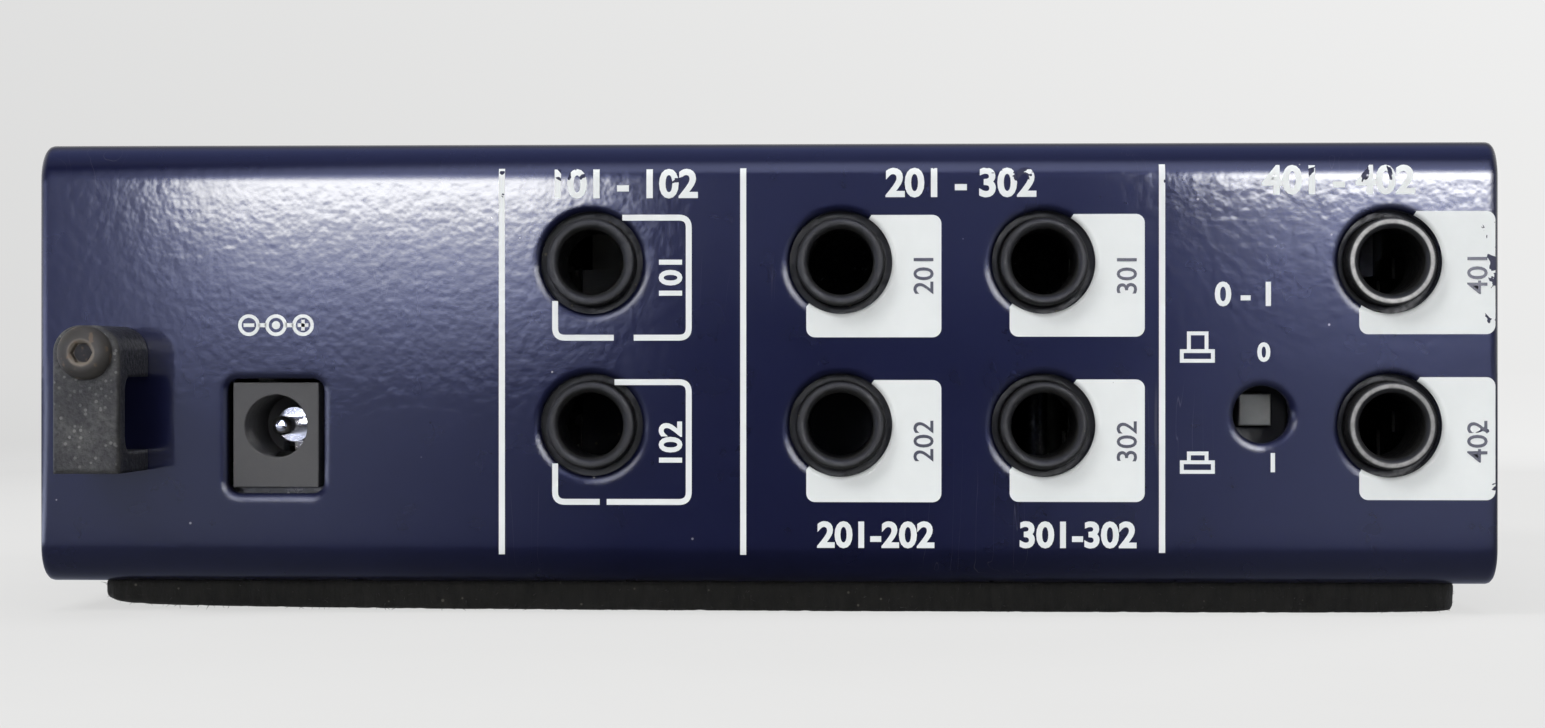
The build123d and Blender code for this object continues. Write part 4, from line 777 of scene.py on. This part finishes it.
class PrintSheet:
    """Thin print on one face: plates and figures in millimetres, to the right and up as it is read."""

    def __init__(self, name, turn, origin, finish, lift=PRINT_LIFT):
        self.name = name
        self.turn = turn
        self.origin = Vector(origin)
        self.finish = finish
        self.lift = lift
        self.skin = bmesh.new()

    def plate(self, outline):
        """A closed outline as a thin plate."""
        area = sum(a[0] * b[1] - b[0] * a[1] for a, b in zip(outline, outline[1:] + outline[:1]))
        points = outline if area > 0 else outline[::-1]
        low = [self.skin.verts.new((x, y, 0)) for x, y in points]
        high = [self.skin.verts.new((x, y, self.lift)) for x, y in points]
        self.skin.faces.new(high)
        self.skin.faces.new(low[::-1])
        for index in range(len(points)):
            after = (index + 1) % len(points)
            self.skin.faces.new((low[index], low[after], high[after], high[index]))

    def line(self, points, width, radius=0.0):
        self.plate(strip(rounded_path(points, radius) if radius else points, width))

    def box(self, left, right, low, high, width):
        """An upright rectangle drawn as a line."""
        half = width / 2
        self.line([(left, low + half), (right, low + half)], width)
        self.line([(left, high - half), (right, high - half)], width)
        self.line([(left + half, low + width), (left + half, high - width)], width)
        self.line([(right - half, low + width), (right - half, high - width)], width)

    def ring(self, centre, radius, width, start=0, end=360):
        self.plate(strip(arc_points(centre, radius, start, end, ARC_STEPS), width))

    def figures(self, text, place, height, weight=0.0, turned=0):
        """Plain figures, centred on a place and turned by degrees."""
        curve = bpy.data.curves.new("figures", "FONT")
        curve.body = text
        curve.size = height / 0.70
        curve.align_x = "CENTER"
        curve.align_y = "CENTER"
        curve.offset = weight
        curve.extrude = self.lift / 2
        curve.resolution_u = 4
        mesh = plain_mesh(new_object("figures", curve))
        bpy.data.curves.remove(curve)
        spots = [v.co for v in mesh.vertices]
        middle = [(min(co[i] for co in spots) + max(co[i] for co in spots)) / 2 for i in (0, 1)]
        turn = Matrix.Rotation(radians(turned), 4, "Z")
        centring = Matrix.Translation((-middle[0], -middle[1], self.lift / 2))
        mesh.transform(Matrix.Translation((*place, 0)) @ turn @ centring)
        self.skin.from_mesh(mesh)
        bpy.data.meshes.remove(mesh)

    def lip(self, centre, start, end):
        """Print that runs down the rounded rim of a hole, between two angles in degrees."""
        rows = []
        for layer in (self.lift, LIP_ROOT):
            for step in range(LIP_ROWS):
                fall = radians(LIP_STEP * step)
                reach = JACK_CUT - (RIM + layer) * sin(fall)
                depth = (RIM + layer) * cos(fall) - RIM
                ring = arc_points(centre, reach, start, end, ARC_STEPS)
                rows.append([self.skin.verts.new((x, y, depth)) for x, y in ring])
        around = rows[:LIP_ROWS] + rows[LIP_ROWS:][::-1]
        for first, second in zip(around, around[1:] + around[:1]):
            for index in range(ARC_STEPS):
                self.skin.faces.new((first[index], first[index + 1], second[index + 1], second[index]))
        for side in (0, ARC_STEPS):
            self.skin.faces.new([row[side] for row in around])

    def wrap(self, start, radius):
        """Carry the print that reaches past the flat of the panel round the bends of the sheet."""
        for side in (-1, 1):
            for past in (0.0, 0.35, 0.7, 1.05):
                geometry = self.skin.verts[:] + self.skin.edges[:] + self.skin.faces[:]
                cut = (0, side * (start + past), 0)
                bmesh.ops.bisect_plane(self.skin, geom=geometry, dist=1e-6, plane_co=cut, plane_no=(0, 1, 0))
        for vert in self.skin.verts:
            past = abs(vert.co.y) - start
            if past > 0:
                vert.co.z -= radius - sqrt(radius**2 - past**2)

    def lay(self):
        """Fold the print onto its face and add it to the object."""
        bmesh.ops.remove_doubles(self.skin, verts=self.skin.verts, dist=1e-5)
        bmesh.ops.recalc_face_normals(self.skin, faces=self.skin.faces)
        mesh = mesh_of(self.skin, self.name)
        mesh.transform(Matrix.Translation(self.origin) @ self.turn.to_4x4() @ Matrix.Scale(MM, 4))
        add_piece(self.name, mesh, "case", self.finish)


# Radii of the jacks' holes, of their rims and of the sheet's bends, in millimetres
JACK_HOLE = 5.2
RIM = 0.5
JACK_CUT = JACK_HOLE + RIM
BEND = 3.8
UPPER_ROW = (SOCKETS["aux_left_socket"].z - MIDDLE) / MM
LOWER_ROW = (SOCKETS["aux_right_socket"].z - MIDDLE) / MM


def label_angles(left, high, jack):
    """Angles in degrees between which a label borders on its jack's hole."""
    beside = asin((jack[0] - left) / JACK_CUT)
    over = asin((high - jack[1]) / JACK_CUT)
    return 270 - degrees(beside), 360 + degrees(over)


def label_outline(left, right, low, high, jack):
    """A label with round corners, cut away round its jack at the upper left."""
    corner = 0.9
    start, end = label_angles(left, high, jack)
    outline = [(jack[0] + JACK_CUT * cos(radians(end)), high)]
    outline += arc_points((right - corner, high - corner), corner, 90, 0)
    outline += arc_points((right - corner, low + corner), corner, 0, -90)
    outline += arc_points((left + corner, low + corner), corner, 270, 180)
    return outline + arc_points(jack, JACK_CUT, start, end, ARC_STEPS)[:-1]


# Figures in place of words on the rear: text, place, height and weight
REAR_FIGURES = (
    ("101 - 102", (-13.86, 18.2), 2.75, 0.13),
    ("201 - 302", (20.05, 18.25), 2.75, 0.13),
    ("401 - 402", (57.98, 18.45), 2.75, 0.13),
    ("201-202", (11.45, -17.38), 2.5, 0.12),
    ("301-302", (31.86, -17.35), 2.5, 0.12),
    ("0 - 1", (48.4, 6.96), 2.3, 0.1),
    ("0", (50.5, 1.1), 1.8, 0.09),
    ("1", (51.4, -10.03), 1.8, 0.09),
)


def print_rear(finishes):
    """Dividing lines, labels, frames, figures and signs, placed as the photograph has them."""
    origin = (0, SHELL_HIGH.y, MIDDLE)
    white = PrintSheet("rear_print", TO_REAR, origin, finishes["print"])
    figures = PrintSheet("rear_label_figures", TO_REAR, origin, finishes["knocked_out"], 2 * PRINT_LIFT)
    column = {name: -SOCKETS[name + "_left_socket"].x / MM for name in ("b", "a", "input")}
    for line, rise in ((-26.53, 0.15), (-1.97, 0.15), (40.3, 0.45)):
        white.line([(line, rise - 19.6), (line, rise + 19.6)], 0.62)
    labels = (("b", 4.42, 18.08, 0.0), ("a", 24.97, 38.56, 0.06), ("input", 60.05, 73.62, 0.3))
    for group, (name, left, right, rise) in enumerate(labels, 2):
        for number, row, low, high in ((1, UPPER_ROW, 2.60, 14.98), (2, LOWER_ROW, -14.08, -1.72)):
            jack = (column[name], row)
            white.plate(label_outline(left, right, low + rise, high + rise, jack))
            white.lip(jack, *label_angles(left, high + rise, jack))
            figures.figures(f"{group}0{number}", (right - 1.8, (low + high) / 2), 2.0, 0.02, 90)
    frames = (
        (14.75, 2.57, 6.3, -14.25, (-15.13, -13.09), "101"),
        (-1.94, -14.1, -10.2, -15.05, (-16.56, -15.84), "102"),
    )
    for high, low, edge, start, gap, mark in frames:
        white.line([(start, high), (-7.5, high), (-7.5, low), (gap[1], low)], 0.6, 1.0)
        white.line([(gap[0], low), (-21.1, low), (-21.1, edge)], 0.6, 1.0)
        white.figures(mark, (-9.35, (high + low) / 2), 2.2, 0.1, 90)
    for text, place, height, weight in REAR_FIGURES:
        white.figures(text, place, height, weight)
    for low, middle, high in ((0.03, 1.39, 3.18), (-11.16, -9.81, -8.92)):
        white.box(42.09, 45.59, low, middle, 0.38)
        for side in (42.99, 44.76):
            white.line([(side, middle), (side, high - 0.38)], 0.38)
        white.line([(42.8, high - 0.19), (44.95, high - 0.19)], 0.38)
    level = 3.86
    minus, pin, plus = -52.43, -49.65, -46.88
    for place in (minus, pin, plus):
        white.ring((place, level), 0.93, 0.36)
        if place != minus:
            white.line([(place - 1.78, level), (place - 1.0, level)], 0.42)
    for place in (minus, plus):
        white.line([(place - 0.55, level), (place + 0.55, level)], 0.36)
    white.line([(plus, level - 0.55), (plus, level + 0.55)], 0.36)
    white.plate(arc_points((pin, level), 0.42, 0, 345, 23))
    white.wrap((SHELL_HIGH.z - SHELL_LOW.z) / 2 / MM - BEND, BEND)
    white.lay()
    figures.lay()


def on_front(point):
    """A point's place on the front sheet, in millimetres."""
    return point.x / MM, (point.z - MIDDLE) / MM


def print_front(finishes):
    """Dividing lines and plain figures round the dials, toggles and sockets."""
    origin = (0, FRAME_LOW.y, MIDDLE)
    white = PrintSheet("front_print", TO_FRONT, origin, finishes["print"])
    for line in (-28.2, 25.2):
        white.line([(line, -18.5), (line, 18.5)], 0.6)
    dial = hub_of("master_knob").x / MM
    for step in range(11):
        turn = radians(240 - 30 * step)
        white.figures(str(step), (dial + 16.7 * cos(turn), 16.7 * sin(turn)), 1.7, 0.05)
    small, level = on_front(hub_of("phones_knob"))
    for text, turn in (("0", radians(240)), ("10", radians(-60))):
        white.figures(text, (small + 10.7 * cos(turn), level + 10.7 * sin(turn)), 1.6, 0.05)
    for node in LEVERS:
        across = hub_of(node).x / MM
        level = on_front(toggle_hub(node))[1]
        for text, rise in (("1", 6.6), ("0", -6.6)):
            white.figures(text, (across, level + rise), 1.8, 0.05)
    sockets = (("1", "phones_one", -8.2), ("2", "phones_two", -8.2), ("3", "small_phones", 5.2))
    for text, name, aside in sockets:
        across, level = on_front(SOCKETS[name + "_socket"])
        white.figures(text, (across + aside, level), 2.0, 0.06)
    white.lay()


def print_top(finishes):
    """A ring with two end marks and a figure round each trimmer."""
    origin = (0, 0, SHELL_HIGH.z)
    white = PrintSheet("top_print", TO_TOP, origin, finishes["print"])
    for number, node in enumerate(TRIMMERS, 1):
        hub = hub_of(node)
        place = (hub.x / MM, hub.y / MM)
        white.ring(place, 5.0, 0.35, -50, 230)
        white.figures(str(number), (place[0], place[1] - 7.4), 2.2, 0.06)
        for turn in (-50, 230):
            way = (cos(radians(turn)), sin(radians(turn)))
            mark = [(place[0] + reach * way[0], place[1] + reach * way[1]) for reach in (5.2, 6.2)]
            white.line(mark, 0.35)
    white.lay()


# Details repeated by geometry nodes


def new_tree(name, inputs):
    """An empty geometry tree with named inputs and their first values."""
    tree = bpy.data.node_groups.new(name, "GeometryNodeTree")
    tree.interface.new_socket("Geometry", in_out="INPUT", socket_type="NodeSocketGeometry")
    for label, value in inputs.items():
        kind = "NodeSocketInt" if isinstance(value, int) else "NodeSocketFloat"
        socket = tree.interface.new_socket(label, in_out="INPUT", socket_type=kind)
        socket.default_value = value
    tree.interface.new_socket("Geometry", in_out="OUTPUT", socket_type="NodeSocketGeometry")
    graph = Graph(tree)
    return graph, graph.add("NodeGroupInput").outputs, graph.add("NodeGroupOutput").inputs


def finish_tree(graph, geometry, finish, result):
    real = graph.out("GeometryNodeRealizeInstances", {0: geometry})
    painted = graph.add("GeometryNodeSetMaterial", {"Geometry": real, "Material": finish})
    graph.feed(result["Geometry"], painted.outputs[0])


def grow(tree, values, base=None):
    """Run a tree with its inputs set, and return the result as a plain mesh."""
    holder = new_object("grown", base or bpy.data.meshes.new("grown"))
    modifier = holder.modifiers.new("grown", "NODES")
    modifier.node_group = tree
    for socket in tree.interface.items_tree:
        if socket.in_out == "INPUT" and socket.name in values:
            modifier[socket.identifier] = values[socket.name]
    return plain_mesh(holder)


def dial_ticks_tree(finish):
    """Ticks round a dial in the XZ plane, spread evenly over a sweep about +Z."""
    sizes = {"Count": 11, "Radius": 0.0145, "Tick Length": 0.0012, "Tick Width": 0.0004}
    sizes |= {"Thickness": 0.00003, "Sweep": radians(300)}
    graph, given, result = new_tree("dial_ticks", sizes)
    points = graph.out("GeometryNodeMeshLine", {"Count": given["Count"], "Offset": (0, 0, 0)})
    sides = {0: given["Tick Width"], 1: given["Thickness"], 2: given["Tick Length"]}
    size = graph.out("ShaderNodeCombineXYZ", sides)
    tick = graph.out("GeometryNodeMeshCube", {"Size": size})
    reach = graph.out("ShaderNodeCombineXYZ", {2: given["Radius"]})
    tick = graph.out("GeometryNodeTransform", {"Geometry": tick, "Translation": reach})
    index = graph.out("GeometryNodeInputIndex")
    share = graph.calc("DIVIDE", index, graph.calc("SUBTRACT", given["Count"], 1))
    turn = graph.times(graph.calc("SUBTRACT", share, 0.5), given["Sweep"])
    turned = graph.out("ShaderNodeCombineXYZ", {1: turn})
    placing = {"Points": points, "Instance": tick, "Rotation": turned}
    placed = graph.out("GeometryNodeInstanceOnPoints", placing)
    finish_tree(graph, placed, finish, result)
    return graph.tree


def thread_tree(finish):
    """A screw thread up Z: one ridge of three sides along a helix."""
    sizes = {"Radius": 0.003, "Turns": 3.0, "Length": 0.0012, "Ridge": 0.00014}
    graph, given, result = new_tree("bushing_thread", sizes)
    run = {"Resolution": 36, "Rotations": given["Turns"], "Height": given["Length"]}
    run |= {"Start Radius": given["Radius"], "End Radius": given["Radius"]}
    helix = graph.out("GeometryNodeCurveSpiral", run)
    section = {"Resolution": 3, "Radius": given["Ridge"]}
    ridge = graph.out("GeometryNodeCurvePrimitiveCircle", section)
    thread = graph.add("GeometryNodeCurveToMesh", {"Curve": helix, "Profile Curve": ridge, "Fill Caps": True})
    finish_tree(graph, thread.outputs[0], finish, result)
    return graph.tree


def fuzz_tree(finish):
    """Short stray fibres on the faces of the mesh that carry the attribute cut_edge."""
    sizes = {"Density": 1.0e6, "Fibre Length": 0.0005, "Fibre Radius": 0.00003, "Seed": 4}
    graph, given, result = new_tree("pad_fuzz", sizes)
    edge = graph.out("GeometryNodeInputNamedAttribute", {"Name": "cut_edge"}, data_type="FLOAT")
    scatter = {"Mesh": given["Geometry"], "Selection": graph.calc("GREATER_THAN", edge, 0.5)}
    scatter |= {"Density": given["Density"], "Seed": given["Seed"]}
    points = graph.add("GeometryNodeDistributePointsOnFaces", scatter).outputs
    taper = {"Radius Top": 0.000005, "Radius Bottom": given["Fibre Radius"], "Depth": given["Fibre Length"]}
    fibre = graph.out("GeometryNodeMeshCone", {"Vertices": 3} | taper)
    leans = {0: (-0.9, -0.9, -3.0), 1: (0.9, 0.9, 3.0)}
    lean = graph.add("FunctionNodeRandomValue", leans, data_type="FLOAT_VECTOR")
    graph.feed(lean.inputs["Seed"], given["Seed"])
    leaning = graph.out("FunctionNodeEulerToRotation", {0: lean.outputs[0]})
    turns = {0: points["Rotation"], 1: leaning}
    turned = graph.out("FunctionNodeRotateRotation", turns, rotation_space="LOCAL")
    long = graph.add("FunctionNodeRandomValue", {2: 0.4, 3: 1.5}, data_type="FLOAT")
    graph.feed(long.inputs["Seed"], given["Seed"])
    placing = {"Points": points[0], "Instance": fibre, "Rotation": turned, "Scale": long.outputs[1]}
    fuzz = graph.out("GeometryNodeInstanceOnPoints", placing)
    finish_tree(graph, fuzz, finish, result)
    return graph.tree


def add_dials(finishes):
    """Eleven ticks round each knob."""
    tree = dial_ticks_tree(finishes["print"])
    dials = (("master_knob", 0.0144, 0.0012, 0.0005), ("phones_knob", 0.0088, 0.0009, 0.0004))
    for node, radius, length, width in dials:
        values = {"Count": 11, "Radius": radius, "Tick Length": length, "Tick Width": width}
        mesh = grow(tree, values)
        hub = hub_of(node)
        mesh.transform(Matrix.Translation((hub.x, FRAME_LOW.y, hub.z)))
        add_piece(node.replace("knob", "dial"), mesh, "case")


def add_threads(finishes):
    """A thread on each toggle's bushing, in front of its nut."""
    tree = thread_tree(finishes["nickel"])
    nut_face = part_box("toggle_nuts")[0].y
    bushing_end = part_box("toggle_bodies")[0].y
    length = nut_face - bushing_end - 0.0004
    skin = bmesh.new()
    for node in LEVERS:
        mesh = grow(tree, {"Length": length, "Turns": 3.0, "Radius": 0.00298})
        hub = toggle_hub(node)
        turn = Matrix.Rotation(pi / 2, 4, "X")
        mesh.transform(Matrix.Translation((hub.x, nut_face - 0.0002, hub.z)) @ turn)
        skin.from_mesh(mesh)
    add_piece("toggle_threads", mesh_of(skin, "toggle_threads"), "case", finishes["nickel"])


def fill_pointers(finishes):
    """White paint in the pointer grooves of both knobs, slightly sunk and dished."""
    half = 0.00044
    floor = 0.00038
    brim = 0.00012
    rows = 9
    for node, length, body in (("master_knob", 8.3, "master_volume"), ("phones_knob", 4.6, "phones_volume")):
        low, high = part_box(node)
        hub = hub_of(node)
        top = high.z - 0.0009
        bottom = top - length * MM + 0.0005
        skin = bmesh.new()
        loops = []
        for step in range(rows):
            share = step / (rows - 1)
            z = bottom + (top - bottom) * share
            dish = 0.00016 + 0.00006 * sin(pi * share)
            section = [(-half, floor), (-half, brim), (0, dish), (half, brim), (half, floor)]
            loops.append([skin.verts.new((hub.x + x, low.y + y, z)) for x, y in section])
        bridge(skin, loops)
        name = node + "_pointer"
        add_piece(name, mesh_of(skin, name), body, finishes["pointer"])


# Foam pad


def pad_outline(half_x, half_y, corner, step):
    """Points and outward normals round a rectangle with round corners."""
    points = []
    for start, sign_x, sign_y in ((0, 1, 1), (90, -1, 1), (180, -1, -1), (270, 1, -1)):
        centre = Vector((sign_x * (half_x - corner), sign_y * (half_y - corner)))
        for index in range(9):
            turn = radians(start + 90 * index / 8)
            normal = Vector((cos(turn), sin(turn)))
            points.append((centre + corner * normal, normal))
    dense = []
    for (here, normal), (after, _) in zip(points, points[1:] + points[:1]):
        run = after - here
        pieces = max(1, round(run.length / step))
        dense += [(here + run * piece / pieces, normal) for piece in range(pieces)]
    return dense


def pad_lift(x, low, high):
    """How far the pad's underside has curled up near its ends."""
    near = (high.x - x) / MM
    far = (x - low.x) / MM
    return MM * (0.70 * exp(-near / 2.5) + 0.60 * exp(-near / 28) + 0.30 * exp(-far / 6))


def make_pad(finishes):
    """The pad as a cut slab: ribbed, ragged sides, and an underside that curls at the ends."""
    low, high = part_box("base_pad")
    middle = (low + high) / 2
    half = (high - low) / 2
    outline = pad_outline(half.x, half.y, 0.003, 0.00030)
    layers = 9
    skin = bmesh.new()
    side = skin.verts.layers.float.new("cut_edge")
    loops = []
    for layer in range(layers):
        share = layer / (layers - 1)
        loop = []
        for point, normal in outline:
            x, y = middle.x + point.x, middle.y + point.y
            bottom = low.z + pad_lift(x, low, high)
            z = bottom + (high.z - bottom) * share
            rib = noise.noise(Vector((x, y, z * 0.2)) / 0.0009)
            rag = noise.noise(Vector((x, y, z)) / 0.0035)
            fringe = abs(2 * share - 1) ** 6
            sink = 0.00030 + 0.00012 * rib + 0.00018 * rag + 0.00022 * fringe
            if layer == 0:
                z += 0.00010 * max(0.0, noise.noise(Vector((x, y, 3.0)) / 0.0012))
            vert = skin.verts.new((x - normal.x * sink, y - normal.y * sink, z))
            vert[side] = 1.0
            loop.append(vert)
        loops.append(loop)
    for inset in (0.0030, 0.0120):
        loop = []
        for vert in loops[0]:
            dx, dy = vert.co.x - middle.x, vert.co.y - middle.y
            x = middle.x + dx * (half.x - inset) / half.x
            y = middle.y + dy * (half.y - inset) / half.y
            loop.append(skin.verts.new((x, y, low.z + pad_lift(x, low, high))))
        loops.insert(0, loop)
    bridge(skin, loops)
    mesh = mesh_of(skin, "foam_pad")
    mesh.shade_smooth()
    fuzz = grow(fuzz_tree(finishes["foam"]), {"Density": 1.1e6, "Seed": 4}, mesh.copy())
    for vert in fuzz.vertices:
        vert.co.z = max(vert.co.z, 0.00002)
    pad = add_piece("foam_pad", mesh, "case", finishes["foam"])
    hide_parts("base_pad")
    add_piece("pad_fuzz", fuzz, "case")


def make_finishes():
    """Every finish by a short name."""
    plain = {key: moulding(*values) for key, values in MOULDINGS.items()}
    return plain | {
        "navy": navy_paint(),
        "print": worn_print(),
        "knocked_out": knocked_out_print(),
        "jack": jack_plastic(),
        "input_left": jack_plastic("input_left_plastic", "input_left_socket", 1.0),
        "input_right": jack_plastic("input_right_plastic", "input_right_socket", 0.6),
        "nylon": clamp_nylon(),
        "screw": black_screw(),
        "clamp_screw": black_screw("clamp_screw_steel", hub_of("clamp_screw")),
        "chrome": plated_metal("pin_chrome", (0.80, 0.79, 0.76), 0.06, 0.14),
        "nickel": plated_metal("bright_nickel", (0.72, 0.71, 0.68)),
        # The jack and socket contacts are painted near black: painted shade inside the bores.
        "contact": plated_metal("contact_nickel", (0.020, 0.019, 0.016), 0.5, 0.65),
        "zinc": plated_metal("zinc_plate", (0.58, 0.58, 0.55), 0.28, 0.45),
        "foam": pad_foam(),
        "laminate": board_laminate(),
        "can": can_sleeve(),
        "lamp": lamp_lens(),
    }


bpy.context.scene.view_settings.view_transform = "Standard"
set_camera()
set_room()
set_lamps()
lay_floor()
finishes = make_finishes()
dress_solids(finishes)
print_rear(finishes)
print_front(finishes)
print_top(finishes)
add_dials(finishes)
add_threads(finishes)
fill_pointers(finishes)
make_pad(finishes)
